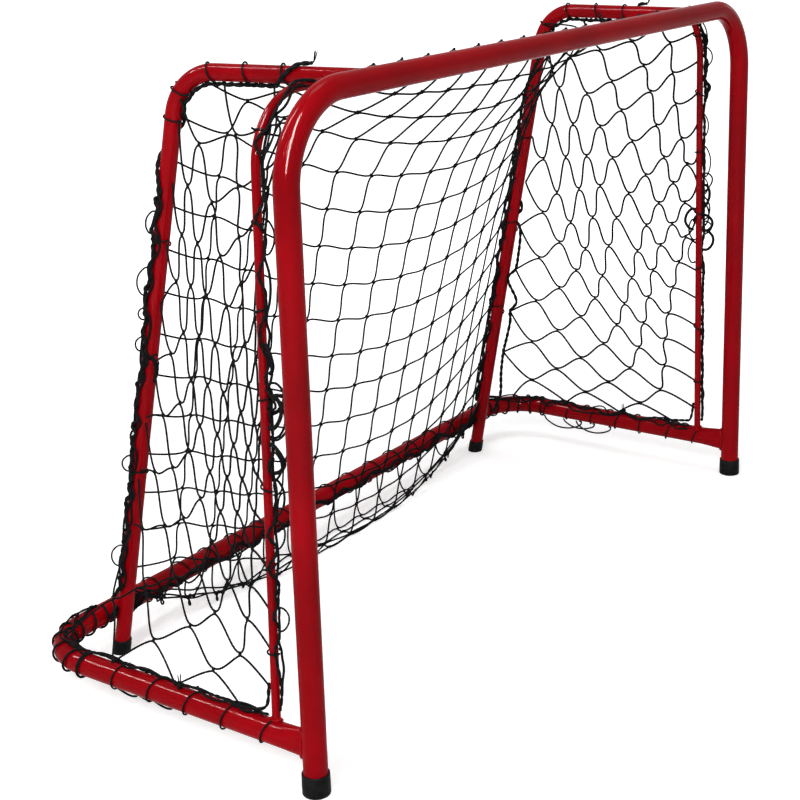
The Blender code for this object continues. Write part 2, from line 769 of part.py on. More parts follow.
# Side panels: rod in front, top tube above, leg behind, base loop below.
for hand, side in ((-1, "left"), (1, "right")):
    rod_route = rod_routes[hand]
    rod_low = rod_route.nearest(Vector((hand * ROD_FOOT_X, ROD_Y, BASE_AXIS_Z + base_edge + weld_off)))
    rod_high = rod_route.nearest(Vector((hand * (top_tube_x(ROD_Y) + leg_edge + weld_off), ROD_Y, rod_z)))
    base_near = base_route.nearest(Vector((hand * POST_AXIS_X, ROD_Y + rod_edge, BASE_AXIS_Z)))
    leg_x = leg_routes[hand].at(back_end)[0].x
    far_x = leg_x + hand * (leg_edge + SIDE_REAR_INSET)
    base_far = base_route.nearest(Vector((far_x, BASE_REAR_Y, BASE_AXIS_Z)))
    foot_corner = base_route.at(base_far)[0] + Z * base_edge

    def front_edge(v, route=rod_route, low=rod_low, high=rod_high):
        return route.at(high + (low - high) * v)[0] + Y * rod_edge

    def rear_edge(v, h=hand, last=foot_corner):
        if v == 1.0:
            return last
        return beside_leg(h, roof_end + (back_end - roof_end) * v, 1)

    top_start, top_end = front_edge(0.0), rear_edge(0.0)

    def top_edge(u, h=hand, first=top_start, last=top_end):
        if u in (0.0, 1.0):
            return last if u else first
        return beside_leg(h, roof_start + (roof_end - roof_start) * u, 1)

    low_start, low_end = front_edge(1.0), rear_edge(1.0)

    def low_edge(u, near=base_near, far=base_far, first=low_start, last=low_end):
        if u in (0.0, 1.0):
            return last if u else first
        return base_route.at(near + (far - near) * u)[0] + Z * base_edge

    patch = blended_patch(top_edge, low_edge, front_edge, rear_edge)
    panel = np.array([
        [patch(i / SIDE_COLUMNS, j / BACK_ROWS) for j in range(BACK_ROWS + 1)]
        for i in range(SIDE_COLUMNS + 1)
    ])
    panel_held = np.ones(panel.shape[:2], bool)
    panel_held[1:-1, 1:-1] = False
    slack = [lengths * (1 + SIDE_SLACK) for lengths in link_lengths(panel)]
    make_net("net_" + side, hang(panel, panel_held, *slack), (top_edge, low_edge, front_edge, rear_edge))

# Lacing. The legs carry the roof and the back on the inside and a side panel on the outside.
def even(start, gap):
    def length_at(r):
        return start + gap * r
    return length_at


rod_gap = (rod_high - rod_low) / BACK_ROWS
for hand, side in ((-1, "left"), (1, "right")):
    make_lacing("lacing_leg_" + side, leg_routes[hand], X * -hand, leg_length_at, ROOF_ROWS + BACK_ROWS,
                LEG_ROWS_PER_TURN, 0, LEG_RADIUS, (0, 3))
    make_lacing("lacing_rod_" + side, rod_routes[hand], Y, even(rod_low, rod_gap), BACK_ROWS,
                ROD_ROWS_PER_TURN, 0, ROD_RADIUS, (0,))

column_gap = 2 * rear_half_width / NET_COLUMNS
rear_start = base_route.nearest(Vector((-rear_half_width, BASE_REAR_Y, BASE_AXIS_Z)))
make_lacing("lacing_base_rear", base_route, rear_hang, even(rear_start, column_gap), NET_COLUMNS, 1, 0,
            BASE_RADIUS, (0,))
side_gap = abs(base_far - base_near) / SIDE_COLUMNS
left_near = base_route.nearest(Vector((-POST_AXIS_X, ROD_Y + rod_edge, BASE_AXIS_Z)))
for side, start in (("left", left_near), ("right", base_far)):
    make_lacing("lacing_base_" + side, base_route, Z, even(start, side_gap), SIDE_COLUMNS, 1, 0,
                BASE_RADIUS, (0,))
top_gap = 2 * sheet_edge[1](0.0).x / NET_COLUMNS
top_start = top_route.nearest(sheet_edge[-1](0.0))
make_lacing("lacing_rod_top", top_route, Y, even(top_start, top_gap), NET_COLUMNS - 1,
            TOP_COLUMNS_PER_TURN, 1, ROD_RADIUS, (0,))

# The whole goal stands with its origin below the middle of its bounds.
front_y = -front_cap_radius
rear_y = BASE_REAR_Y + lacing_off(BASE_RADIUS)
GOAL.location = (0, -(front_y + rear_y) / 2, 0)
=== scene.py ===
"""Looks of the floorball goal: red tubes on rubber feet, hung with a knotted black net.

Every piece is laid out from the middle of the front hoop, with the mouth facing -Y, and add_mesh()
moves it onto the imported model.
"""

import math

import bpy
import numpy as np
from mathutils import Matrix, Vector


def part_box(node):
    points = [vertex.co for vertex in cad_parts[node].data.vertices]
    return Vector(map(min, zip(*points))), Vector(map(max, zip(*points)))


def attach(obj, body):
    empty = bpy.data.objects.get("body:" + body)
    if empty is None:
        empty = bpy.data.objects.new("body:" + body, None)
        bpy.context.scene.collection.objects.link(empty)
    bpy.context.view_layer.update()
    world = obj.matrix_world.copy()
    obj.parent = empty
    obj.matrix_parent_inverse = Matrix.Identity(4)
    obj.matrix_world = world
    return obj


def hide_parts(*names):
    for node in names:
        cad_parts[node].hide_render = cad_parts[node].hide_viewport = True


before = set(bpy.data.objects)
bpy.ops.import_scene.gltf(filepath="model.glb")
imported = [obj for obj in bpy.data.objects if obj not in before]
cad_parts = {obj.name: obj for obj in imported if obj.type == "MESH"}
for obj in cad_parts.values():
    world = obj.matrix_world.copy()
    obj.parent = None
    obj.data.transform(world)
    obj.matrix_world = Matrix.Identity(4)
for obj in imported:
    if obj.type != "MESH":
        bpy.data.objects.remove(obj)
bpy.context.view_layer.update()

# The hoop's middle plane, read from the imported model.
hoop_low, hoop_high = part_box("front_hoop")
HOOP_Y = (hoop_low.y + hoop_high.y) / 2

# The goal's two sides, and the ways that places are counted along.
SIDES = ((-1, "left"), (1, "right"))
X, Y, Z = np.eye(3)

# Front hoop and base loop, bent from the same tube.
TUBE_RADIUS = 0.011
POST_X = 0.439
BAR_Z = 0.6032
HOOP_BEND = 0.075
BASE_Z = 0.0447
REAR_Y = 0.3426
BASE_BEND = 0.058
BASE_END_HALF_HEIGHT = 0.0135
BASE_END_HALF_WIDTH = 0.007
BASE_END_FLARE = 0.030

# Side legs: level behind the crossbar, then down to the floor inside the rear tube.
LEG_RADIUS = 0.008
LEG_TOP_X = 0.3105
LEG_CORNER_X = 0.3304
LEG_CORNER_Y = 0.2085
LEG_FOOT_X = 0.3419
LEG_FOOT_Y = 0.3321
LEG_BEND = 0.050

# Rods that carry the front edges of the net.
ROD_RADIUS = 0.004
ROD_Y = 0.0444
ROD_Z = 0.6002
ROD_FOOT_X = 0.4356
ROD_TOP_X = 0.4209
ROD_BEND = 0.060

# Rubber feet, and the height at which the tubes start in them.
FRONT_CAP_RADIUS = 0.0127
FRONT_CAP_HEIGHT = 0.020
REAR_CAP_RADIUS = 0.0096
REAR_CAP_HEIGHT = 0.0155
CAP_EDGE = 0.0011
CAP_LIP = 0.0006
SOLE_GROOVE = 0.0004
TUBE_START = CAP_EDGE * 3

# Weld beads: their ripples are counted round the end of a side leg.
WELD_RADIUS = 0.0021
WELD_RIPPLES = 9
WELD_RIPPLE = 0.10
WELD_WAVE = 0.06
CROSS_WELD_RADIUS = 0.0024
CROSS_WELD_REACH = 0.0056

# The main net: its cord, the sides of its gaps, and its count of gaps across and down.
CORD_RADIUS = 0.00102
NET_COLUMNS = 15
NET_ROWS = 19
GAP_ACROSS = 0.0452
GAP_DOWN = 0.0412

# Where it is tied: along the top rod, down each leg's level tube and slope, and along the rear tube.
TOP_TIES_X = (-0.2897, 0.2995)
LEVEL_LENGTH = 0.165
LEVEL_GAPS = {-1: 3.30, 1: 2.0002}
SLOPE_GAP = {-1: 0.0432, 1: 0.0408}
REAR_TIES_X = 0.33

# How it falls to rest.
GRAVITY = 9.81
STEP_TIME = 0.01
FALL_STEPS = 240
FALL_PASSES = 14
FALL_DAMPING = 0.96

KNOT_HALF_LENGTH = 0.0017
KNOT_RADIUS = 0.0009
KNOT_CORD_RADIUS = 0.0009
KNOT_TURNS = 2

# How far a cord runs on from a knot before it bends away: in a taut net, and in a slack one.
TAUT_BEND = (0.004, 0.008)
SLACK_BEND = (0.004, 0.0105)

# The side panels: their cord, its length from knot to knot, and how it pulls and weighs in balance.
SIDE_CORD_RADIUS = {-1: CORD_RADIUS, 1: CORD_RADIUS * 1.3}
SIDE_GAP = 0.0440
SIDE_REST = 0.033
SIDE_PULL = (0.75, 1.0)
SIDE_WEIGHT = {-1: 0.0021, 1: 0.0012}
BALANCE_ROUNDS = 9

# Where they are tied to the rod, the leg, the level tube and the base.
SIDE_ROD_Z = (0.5746, 0.0822)
SIDE_LEG_Z = (0.5594, 0.1494)
SIDE_LEVEL_Y = (0.050, 0.209)
SIDE_BASE_FRONT_Y = 0.06
SIDE_BASE_REAR_X = 0.352
SIDE_HANG_OFF = 0.008
SIDE_HANG_TOP = 0.34
TIE_OUT = 0.0028
TIE_OFF = 0.0015

# How much longer a net's cords are than the way between their knots, at least.
MAIN_SPARE = 1.02
SIDE_SPARE = {-1: 1.08, 1: 1.02}

# Radii of the lacing's cords, from a fibre of a frayed end to the thick loops of a snarl.
FIBRE_RADIUS = 0.0005
FINE_RADIUS = 0.0008
LACE_RADIUS = 0.0009
THIN_RADIUS = 0.0010
SPARE_RADIUS = 0.0011
SLACK_RADIUS = 0.0012
LUMP_RADIUS = 0.0013
THICK_RADIUS = 0.0018

# Radii of its ropes, and the length in which a rope's two strands go once round.
ROPE_RADIUS = 0.0020
HEAVY_ROPE_RADIUS = 0.0022
ROD_ROPE_RADIUS = {-1: 0.0014, 1: 0.0018}
BASE_ROPE_RADIUS = 0.0014
RISE_ROPE_RADIUS = 0.0016
TOP_ROPE_RADIUS = 0.0013
ROPE_TWIST = 0.018
FRAY_LENGTH = 0.009

# Stretches that bow off a tube: a height, or a length past a bend of the base, a length and a reach.
LEG_BOWS = (
    (0.47, 0.020, 0.007), (0.415, 0.026, 0.010), (0.375, 0.010, 0.006),
    (0.345, 0.012, 0.006), (0.22, 0.014, 0.008), (0.12, 0.020, 0.010),
)
ROD_BOWS = {
    -1: ((0.50, 0.028, 0.008), (0.24, 0.024, 0.008), (0.16, 0.020, 0.009)),
    1: ((0.555, 0.022, 0.010), (0.47, 0.026, 0.006), (0.43, 0.038, 0.009), (0.39, 0.020, 0.006)),
}
BASE_BOWS = ((0.005, 0.06, 0.012), (0.035, 0.05, 0.009), (0.055, 0.055, 0.011))
BOW_SHAPE = ((-0.04, 0), (0.06, 0.55), (0.35, 1), (0.7, 0.95), (0.97, 0.5), (1.0, 0), (0.93, -0.02))
SNARL_HEIGHT = 0.345

# How finely round things are drawn, and the share to which a cord's cut end narrows.
TUBE_SIDES = 40
ROD_SIDES = 20
WELD_SIDES = 10
CORD_SIDES = 7
BEND_STEPS = 24
FLARE_POINTS = 13
STRAND_POINTS = 11
CORD_TIP = 0.25

# The camera of the photograph, in pixels of its 800 by 800 frame, radians and metres.
IMAGE_SIZE = 800
FOCAL_PIXELS = 1560.85
VIEW_CENTRE_DOWN = 300
CAMERA_PLACE = (-1.3652, -0.7654, 0.7601)
CAMERA_HEADING = 0.9517
CAMERA_TILT = 0.2613
CAMERA_ROLL = -0.0321
SENSOR_WIDTH = 36.0

# Light: the world's level, and the front lamps, by heading from the goal, width and watts.
WORLD_LIGHT = 0.31
FRONT_LAMPS = (("broad", 0.30, 0.32, 29), ("slim", 0.72, 0.14, 13), ("far", -0.10, 0.12, 10))
FRONT_LAMP_AWAY = 2.3
FRONT_LAMP_HEIGHT = 1.9

# The floor: its grey, its own glow under the goal, and the distances between which it turns white.
FLOOR_SIZE = 30.0
FLOOR_GREY = (0.86, 0.86, 0.86, 1)
FLOOR_GLOW = 0.50
FLOOR_FADE = (0.65, 1.3)


def vec(*numbers):
    return np.array(numbers, float)


def unit(vectors):
    return vectors / np.maximum(np.linalg.norm(vectors, axis=-1, keepdims=True), 1e-12)


def square_to(direction, towards):
    """The part of a direction that is square to another, at unit length."""
    return unit(towards - direction * (towards * direction).sum(-1, keepdims=True))


def bent_path(corners, bends):
    """A run of straight lines through the corners, each inner corner rounded to its bend radius."""
    points = [corners[0]]
    for before, corner, after, radius in zip(corners, corners[1:], corners[2:], bends):
        back, onward = unit(before - corner), unit(after - corner)
        half = math.acos(float(back @ onward)) / 2
        middle = corner + unit(back + onward) * (radius / math.sin(half))
        start = corner + back * (radius / math.tan(half))
        arm = start - middle
        sideways = square_to(arm, -back) * radius
        sweep = math.pi - 2 * half
        for step in range(BEND_STEPS + 1):
            turn = sweep * step / BEND_STEPS
            points.append(middle + arm * math.cos(turn) + sideways * math.sin(turn))
    points.append(corners[-1])
    return np.array(points)


class Route:
    """A path that is read by the length along it."""

    def __init__(self, points):
        self.points = np.asarray(points, float)
        steps = np.linalg.norm(np.diff(self.points, axis=0), axis=1)
        self.marks = np.concatenate([[0.0], np.cumsum(steps)])
        self.length = self.marks[-1]

    def at(self, lengths):
        return np.stack([np.interp(lengths, self.marks, self.points[:, k]) for k in range(3)], -1)

    def along(self, lengths):
        return unit(self.at(lengths + 1e-4) - self.at(lengths - 1e-4))

    def nearest(self, target):
        """The length at which the route passes closest to a point."""
        lengths = np.linspace(0, self.length, 2000)
        return lengths[np.argmin(np.linalg.norm(self.at(lengths) - target, axis=1))]


def ring_quads(count, sides):
    """The quads that join each ring of points to the next."""
    ring = np.arange(count - 1)[:, None] * sides
    side = np.arange(sides)
    after = (side + 1) % sides
    return np.stack([ring + side, ring + after, ring + sides + after, ring + sides + side], -1)


class Sweep:
    """Round tubes or cords along paths, gathered into one mesh.

    The UVs hold the length along a path in metres and the share of a turn round it.
    """

    def __init__(self, sides):
        self.sides = sides
        self.places = []
        self.quads = []
        self.corners = []
        self.count = 0

    def add(self, paths, radius, up=None, closed_ends=False):
        """Adds paths of equal point count. Radius is one number, or half sizes along up and across."""
        paths = np.asarray(paths, float)
        if paths.ndim == 2:
            paths = paths[None]
        many, count = paths.shape[:2]
        along = unit(np.gradient(paths, axis=1))
        if up is None:
            up = np.where(abs(along[:, :1, 2]) < 0.9, Z, X)
        normal = square_to(along[:, 0], np.broadcast_to(up, (many, 3)))
        normals = []
        for k in range(count):
            normal = square_to(along[:, k], normal)
            normals.append(normal)
        normals = np.stack(normals, 1)
        across = np.cross(along, normals)
        turn = 2 * np.pi * (np.arange(self.sides) + 0.5) / self.sides
        sizes = np.asarray(radius, float)
        if sizes.ndim < 2:
            sizes = np.stack([np.broadcast_to(sizes, (count,))] * 2, -1)
        if closed_ends:
            sizes = sizes.copy()
            sizes[[0, -1]] *= CORD_TIP
        high = normals[:, :, None] * np.sin(turn)[:, None] * sizes[:, 0][:, None, None]
        wide = across[:, :, None] * np.cos(turn)[:, None] * sizes[:, 1][:, None, None]
        self.places.append((paths[:, :, None] + high + wide).reshape(-1, 3))
        self._join(paths, many, count)

    def _join(self, paths, many, count):
        paths_before = np.arange(many)[:, None, None, None] * count * self.sides
        quads = ring_quads(count, self.sides) + paths_before + self.count
        self.quads.append(quads.reshape(-1, 4))
        steps = np.linalg.norm(np.diff(paths, axis=1), axis=2)
        length = np.concatenate([np.zeros((many, 1)), np.cumsum(steps, 1)], 1)
        left = np.broadcast_to(np.arange(self.sides) / self.sides, quads.shape[:3])
        right = left + 1 / self.sides
        near = np.broadcast_to(length[:, :-1, None], left.shape)
        far = np.broadcast_to(length[:, 1:, None], left.shape)
        u = np.stack([near, near, far, far], -1)
        v = np.stack([left, right, right, left], -1)
        self.corners.append(np.stack([u, v], -1).reshape(-1, 2))
        self.count += many * count * self.sides

    def piece(self, name, look, *replaced):
        places, quads, corners = (np.concatenate(part) for part in (self.places, self.quads, self.corners))
        add_mesh(name, places, quads, corners, look, replaced)


def link(name, data):
    """Puts a new object into the scene."""
    thing = bpy.data.objects.new(name, data)
    bpy.context.scene.collection.objects.link(thing)
    return thing


def add_mesh(name, places, faces, corners, look, replaced):
    """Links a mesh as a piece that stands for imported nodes. Corners are the UVs of the face corners."""
    material, slot = look
    mesh = bpy.data.meshes.new(name)
    mesh.from_pydata((places + vec(0, HOOP_Y, 0)).tolist(), [], np.asarray(faces).tolist())
    if corners is not None:
        layer = mesh.uv_layers.new(name="UVMap")
        layer.data.foreach_set("uv", np.asarray(corners, np.float32).ravel())
    mesh.shade_smooth()
    mesh.materials.append(material)
    piece = link(name, mesh)
    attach(piece, "root")
    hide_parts(*replaced)


class Nodes:
    """The nodes of a material or the world, with short ways to add and join them."""

    def __init__(self, tree):
        self.tree = tree

    def put(self, socket, value):
        """Joins another node's output to a socket, or sets the socket to a number or a colour."""
        if isinstance(value, bpy.types.NodeSocket):
            self.tree.links.new(value, socket)
        else:
            socket.default_value = value

    def fill(self, node, **inputs):
        """Puts values into a node's inputs, which are named with _ for each space."""
        for name, value in inputs.items():
            self.put(node.inputs[name.replace("_", " ")], value)
        return node

    def add(self, kind, **inputs):
        return self.fill(self.tree.nodes.new(kind), **inputs)

    def noise(self, vector, scale, detail, roughness=0.5):
        node = self.add("ShaderNodeTexNoise", Vector=vector, Scale=scale, Detail=detail, Roughness=roughness)
        return node.outputs["Fac"]

    def ramp(self, factor, low, high, out_low, out_high):
        """Turns a number between low and high into one between two others."""
        node = self.add("ShaderNodeMapRange", Value=factor, From_Min=low, From_Max=high)
        return self.fill(node, To_Min=out_low, To_Max=out_high).outputs["Result"]

    def blend(self, factor, first, second):
        """Mixes two colours, which are inputs 6 and 7 of a mix node."""
        node = self.tree.nodes.new("ShaderNodeMix")
        node.data_type = "RGBA"
        for place, value in ((0, factor), (6, first), (7, second)):
            self.put(node.inputs[place], value)
        return node.outputs[2]

    def math(self, operation, *values):
        node = self.tree.nodes.new("ShaderNodeMath")
        node.operation = operation
        for socket, value in zip(node.inputs, values):
            self.put(socket, value)
        return node.outputs[0]

    def bump(self, height, strength, distance):
        node = self.add("ShaderNodeBump", Height=height, Strength=strength, Distance=distance)
        return node.outputs["Normal"]


class Shader(Nodes):
    """A new material's nodes."""

    def __init__(self, name):
        self.material = bpy.data.materials.new(name)
        self.material.use_nodes = True
        super().__init__(self.material.node_tree)
        self.places = self.add("ShaderNodeTexCoord").outputs

    def shade(self, **inputs):
        """Puts values into the inputs of the material's surface, and gives the material."""
        self.fill(self.tree.nodes["Principled BSDF"], **inputs)
        return self.material


def red_powder_coat():
    """Glossy baked powder: a fine orange peel, faint cloudy colour and a few dull scuffs."""
    shader = Shader("red_powder_coat")
    place = shader.places["Object"]
    cloud = shader.noise(place, 9.0, 4.0)
    scuff = shader.ramp(shader.noise(place, 60.0, 8.0, 0.7), 0.64, 0.74, 0, 0.3)
    deep, bright, scuffed = (0.22, 0.0004, 0.0028, 1), (0.32, 0.0006, 0.0042, 1), (0.22, 0.004, 0.007, 1)
    colour = shader.blend(shader.ramp(cloud, 0.35, 0.65, 0, 1), deep, bright)
    gloss = shader.ramp(cloud, 0.3, 0.7, 0.16, 0.24)
    return shader.shade(
        Base_Color=shader.blend(scuff, colour, scuffed),
        Roughness=shader.math("ADD", gloss, shader.math("MULTIPLY", scuff, 0.5)),
        Normal=shader.bump(shader.noise(place, 420.0, 2.0), 0.10, 0.0006),
        Specular_IOR_Level=0.006,
        Specular_Tint=(1, 0.16, 0.14, 1),
        Coat_Weight=0.08,
        Coat_Roughness=0.08,
    )


def black_rubber():
    """Moulded rubber: matt black with a fine grain, dusty where it is handled."""
    shader = Shader("black_rubber")
    place = shader.places["Object"]
    dust = shader.ramp(shader.noise(place, 130.0, 5.0), 0.45, 0.7, 0, 1)
    clean, dusty = (0.0035, 0.0035, 0.0038, 1), (0.010, 0.0095, 0.009, 1)
    return shader.shade(
        Base_Color=shader.blend(dust, clean, dusty),
        Roughness=shader.ramp(dust, 0, 1, 0.50, 0.68),
        Normal=shader.bump(shader.noise(place, 1800.0, 2.0), 0.25, 0.0003),
        Specular_IOR_Level=0.03,
    )


def black_cord():
    """Braided twine: crossing ridges round the cord, paler where the fibres are worn."""
    braid_length, ridges = 0.0034, 2
    shader = Shader("black_cord")
    split = shader.add("ShaderNodeSeparateXYZ", Vector=shader.places["UV"])
    along = shader.math("MULTIPLY", split.outputs["X"], 2 * math.pi / braid_length)
    around = shader.math("MULTIPLY", split.outputs["Y"], 2 * math.pi * ridges)
    right_hand, left_hand = (
        shader.math("SINE", shader.math(joined, along, around)) for joined in ("ADD", "SUBTRACT")
    )
    braid = shader.math("MAXIMUM", right_hand, left_hand)
    worn = shader.ramp(shader.noise(shader.places["Object"], 260.0, 4.0), 0.45, 0.75, 0, 1)
    high = shader.math("MULTIPLY", shader.ramp(braid, 0.2, 1.0, 0, 1), worn)
    fresh, faded = (0.0035, 0.0035, 0.0042, 1), (0.011, 0.011, 0.0115, 1)
    return shader.shade(
        Base_Color=shader.blend(high, fresh, faded),
        Roughness=0.8,
        Normal=shader.bump(braid, 0.6, 0.00018),
        Specular_IOR_Level=0.02,
    )


# Each look is a material and the slot that it fills.
RED = (red_powder_coat(), "red_powder_coat")
RUBBER = (black_rubber(), "black_rubber")
CORD = (black_cord(), "black_cord")


def leg_corners(hand):
    return [
        vec(hand * LEG_TOP_X, 0, BAR_Z),
        vec(hand * LEG_CORNER_X, LEG_CORNER_Y, BAR_Z),
        vec(hand * LEG_FOOT_X, LEG_FOOT_Y, 0),
    ]


def top_tube_x(y):
    return LEG_TOP_X + (LEG_CORNER_X - LEG_TOP_X) * y / LEG_CORNER_Y


def rod_corners(hand):
    return [
        vec(hand * ROD_FOOT_X, ROD_Y, BASE_Z),
        vec(hand * ROD_TOP_X, ROD_Y, ROD_Z),
        vec(hand * top_tube_x(ROD_Y), ROD_Y, ROD_Z),
    ]


def leg_place(hand, z):
    """The middle of a side leg at a height."""
    corners = leg_corners(hand)
    return corners[1] + (corners[2] - corners[1]) * ((BAR_Z - z) / BAR_Z)


def level_place(hand, y):
    """The middle of a side leg's level tube, some way behind the crossbar."""
    return vec(hand * top_tube_x(y), y, BAR_Z)


def rod_path(hand):
    return bent_path(rod_corners(hand), [ROD_BEND])


def u_path(end, corner, bend):
    """A U from side to side, by its left end, its left corner and the radius of its bends."""
    mirror = vec(-1, 1, 1)
    return bent_path([end, corner, corner * mirror, end * mirror], [bend] * 2)


def base_path():
    return u_path(vec(-POST_X, 0, BASE_Z), vec(-POST_X, REAR_Y, BASE_Z), BASE_BEND)


def make_tube(name, path, radius, replaced, up=None, sides=TUBE_SIDES):
    tube = Sweep(sides)
    tube.add(path, radius, up=up)
    tube.piece(name, RED, replaced)


def make_hoop():
    path = u_path(vec(-POST_X, 0, TUBE_START), vec(-POST_X, 0, BAR_Z), HOOP_BEND)
    make_tube("hoop_tube", path, TUBE_RADIUS, "front_hoop", Y)


def make_base_loop():
    """The base loop is flattened and flared where it butts against the posts."""
    middle = base_path()[1:-1]
    share = np.linspace(0, 1, FLARE_POINTS)[:, None]
    left = vec(-POST_X, TUBE_RADIUS, BASE_Z) + Y * BASE_END_FLARE * share
    right = (left * vec(-1, 1, 1))[::-1]
    end = vec(BASE_END_HALF_HEIGHT, BASE_END_HALF_WIDTH)
    ends = end + (TUBE_RADIUS - end) * share * share * (3 - 2 * share)
    sizes = np.concatenate([ends, np.full((len(middle), 2), TUBE_RADIUS), ends[::-1]])
    make_tube("base_tube", np.concatenate([left, middle, right]), sizes, "base_loop", Z)


def make_legs():
    for hand, side in SIDES:
        top, corner, foot = leg_corners(hand)
        path = bent_path([top, corner, foot + unit(corner - foot) * TUBE_START], [LEG_BEND])
        make_tube("leg_tube_" + side, path, LEG_RADIUS, side + "_side_leg", X)


def make_rods():
    """The two bent side rods and the top rod are one round bar to the eye, cut by the side legs."""
    top = [rod_corners(hand)[2] for hand, _ in SIDES]
    for name, path in (("left", rod_path(-1)), ("right", rod_path(1)), ("top", top)):
        make_tube("rod_" + name, path, ROD_RADIUS, "net_rod_" + name, Y, ROD_SIDES)


def lathe(name, profile, foot, lean, replaced):
    """A rubber cup turned from a profile of radius and height, leaning with its tube."""
    turn = 2 * np.pi * np.arange(TUBE_SIDES) / TUBE_SIDES
    round_out = np.stack([np.cos(turn), np.sin(turn), np.zeros(TUBE_SIDES)], -1)
    rings = [foot + lean * height + round_out * radius for radius, height in profile]
    faces = ring_quads(len(rings), TUBE_SIDES).reshape(-1, 4)
    add_mesh(name, np.concatenate(rings), faces, None, RUBBER, [replaced])


def quarter(radius, height, size, start):
    """A quarter circle of a profile, about a middle at a radius and a height, from a turn onward."""
    turns = start + np.linspace(0, math.pi / 2, 6)
    return [(radius + size * math.cos(turn), height + size * math.sin(turn)) for turn in turns]


def cap_profile(outer, bore, height):
    """From the middle of the sole, round the sole's edge, up the wall, over the lip and down the bore."""
    rim = outer - CAP_LIP * 0.3
    profile = [(0.0001, 0.0), (outer * 0.55, 0.0), (outer * 0.6, SOLE_GROOVE)]
    profile += quarter(outer - CAP_EDGE, CAP_EDGE, CAP_EDGE, -math.pi / 2)
    profile += [(outer, height * 0.5), (rim, height - CAP_EDGE * 1.5)]
    profile += quarter(rim - CAP_LIP, height - CAP_LIP, CAP_LIP, 0)
    return profile + [(bore, height), (bore, height * 0.4)]


def make_feet():
    for hand, side in SIDES:
        profile = cap_profile(FRONT_CAP_RADIUS, TUBE_RADIUS, FRONT_CAP_HEIGHT)
        lathe("foot_front_" + side, profile, X * hand * POST_X, Z, "front_" + side + "_foot")
        _, corner, foot = leg_corners(hand)
        profile = cap_profile(REAR_CAP_RADIUS, LEG_RADIUS, REAR_CAP_HEIGHT)
        lathe("foot_rear_" + side, profile, foot, (corner - foot) / BAR_Z, "rear_" + side + "_foot")


def make_weld(name, side, path, radius):
    make_tube("weld_" + name + "_" + side, path, radius, name + "_weld_" + side, sides=WELD_SIDES)


def bead(centre, direction, up, size, onto, seed):
    """A rippled bead round the line where the end of one tube meets the side of another.

    Gives its path and its radius along it.
    Size is the end's half size along up and across it. Onto is the other tube: a point of its axis,
    the way of its axis and its radius.
    """
    chance = np.random.default_rng(seed)
    half_up, half_side = size
    axis_point, axis, radius = onto
    turn = np.linspace(0, 2 * np.pi, 61)
    side = np.cross(direction, up)
    out = up * np.cos(turn)[:, None] * half_up + side * np.sin(turn)[:, None] * half_side
    start = centre + out
    off = start - axis_point
    off = off - axis * (off @ axis)[:, None]
    way = direction - axis * (direction @ axis)
    ahead = off @ way
    under = np.maximum(ahead ** 2 - way @ way * ((off ** 2).sum(1) - radius ** 2), 0)
    reach = (-ahead + np.sqrt(under)) / (way @ way)
    count = round(WELD_RIPPLES * half_up / LEG_RADIUS)
    ripple = 1 + WELD_RIPPLE * np.sin(turn * count + chance.uniform(0, 6))
    ripple += WELD_WAVE * np.sin(turn * 3 + chance.uniform(0, 6))
    path = start + direction * (reach + WELD_RADIUS * 0.25)[:, None] + unit(out) * WELD_RADIUS * 0.1
    return path, WELD_RADIUS * ripple


def make_welds():
    base_end = (BASE_END_HALF_HEIGHT, BASE_END_HALF_WIDTH)
    leg_end, rod_end = (LEG_RADIUS, LEG_RADIUS), (ROD_RADIUS, ROD_RADIUS)
    for hand, side in SIDES:
        base_start = vec(hand * POST_X, 0, BASE_Z)
        leg_start, leg_corner, _ = leg_corners(hand)
        rod_foot, rod_corner, rod_end_place = rod_corners(hand)
        level_way = unit(leg_corner - leg_start)
        post = (X * hand * POST_X, Z, TUBE_RADIUS)
        crossbar = (Z * BAR_Z, X, TUBE_RADIUS)
        base_tube = (base_start, Y, TUBE_RADIUS)
        level_tube = (leg_start, level_way, LEG_RADIUS)
        for name, start, way, up, size, onto in (
            ("base", base_start, Y, Z, base_end, post),
            ("leg_top", leg_start, level_way, Z, leg_end, crossbar),
            ("rod_foot", rod_foot, unit(rod_corner - rod_foot), Y, rod_end, base_tube),
            ("rod_corner", rod_end_place, X * hand, Z, rod_end, level_tube),
            ("rod_top", rod_end_place, X * -hand, Z, rod_end, level_tube),
        ):
            make_weld(name, side, *bead(start, way, up, size, onto, len(name) + hand))
        make_cross_weld(hand, side)


def make_cross_weld(hand, side):
    """A bead in the wedge between a side leg and the rear tube, which touch as they cross."""
    _, corner, foot = leg_corners(hand)
    down = unit(foot - corner)
    on_leg = corner + down * ((BASE_Z - BAR_Z) / down[2])
    normal = square_to(down, Y)
    first = square_to(normal, down)
    second = np.cross(normal, first)
    turn = np.linspace(0, 2 * np.pi, 41)[:, None]
    contact = on_leg + normal * LEG_RADIUS
    path = contact + (first * np.cos(turn) + second * np.sin(turn)) * CROSS_WELD_REACH
    make_weld("leg_base", side, path, CROSS_WELD_RADIUS * (1 + WELD_RIPPLE * np.sin(turn[:, 0] * 8)))


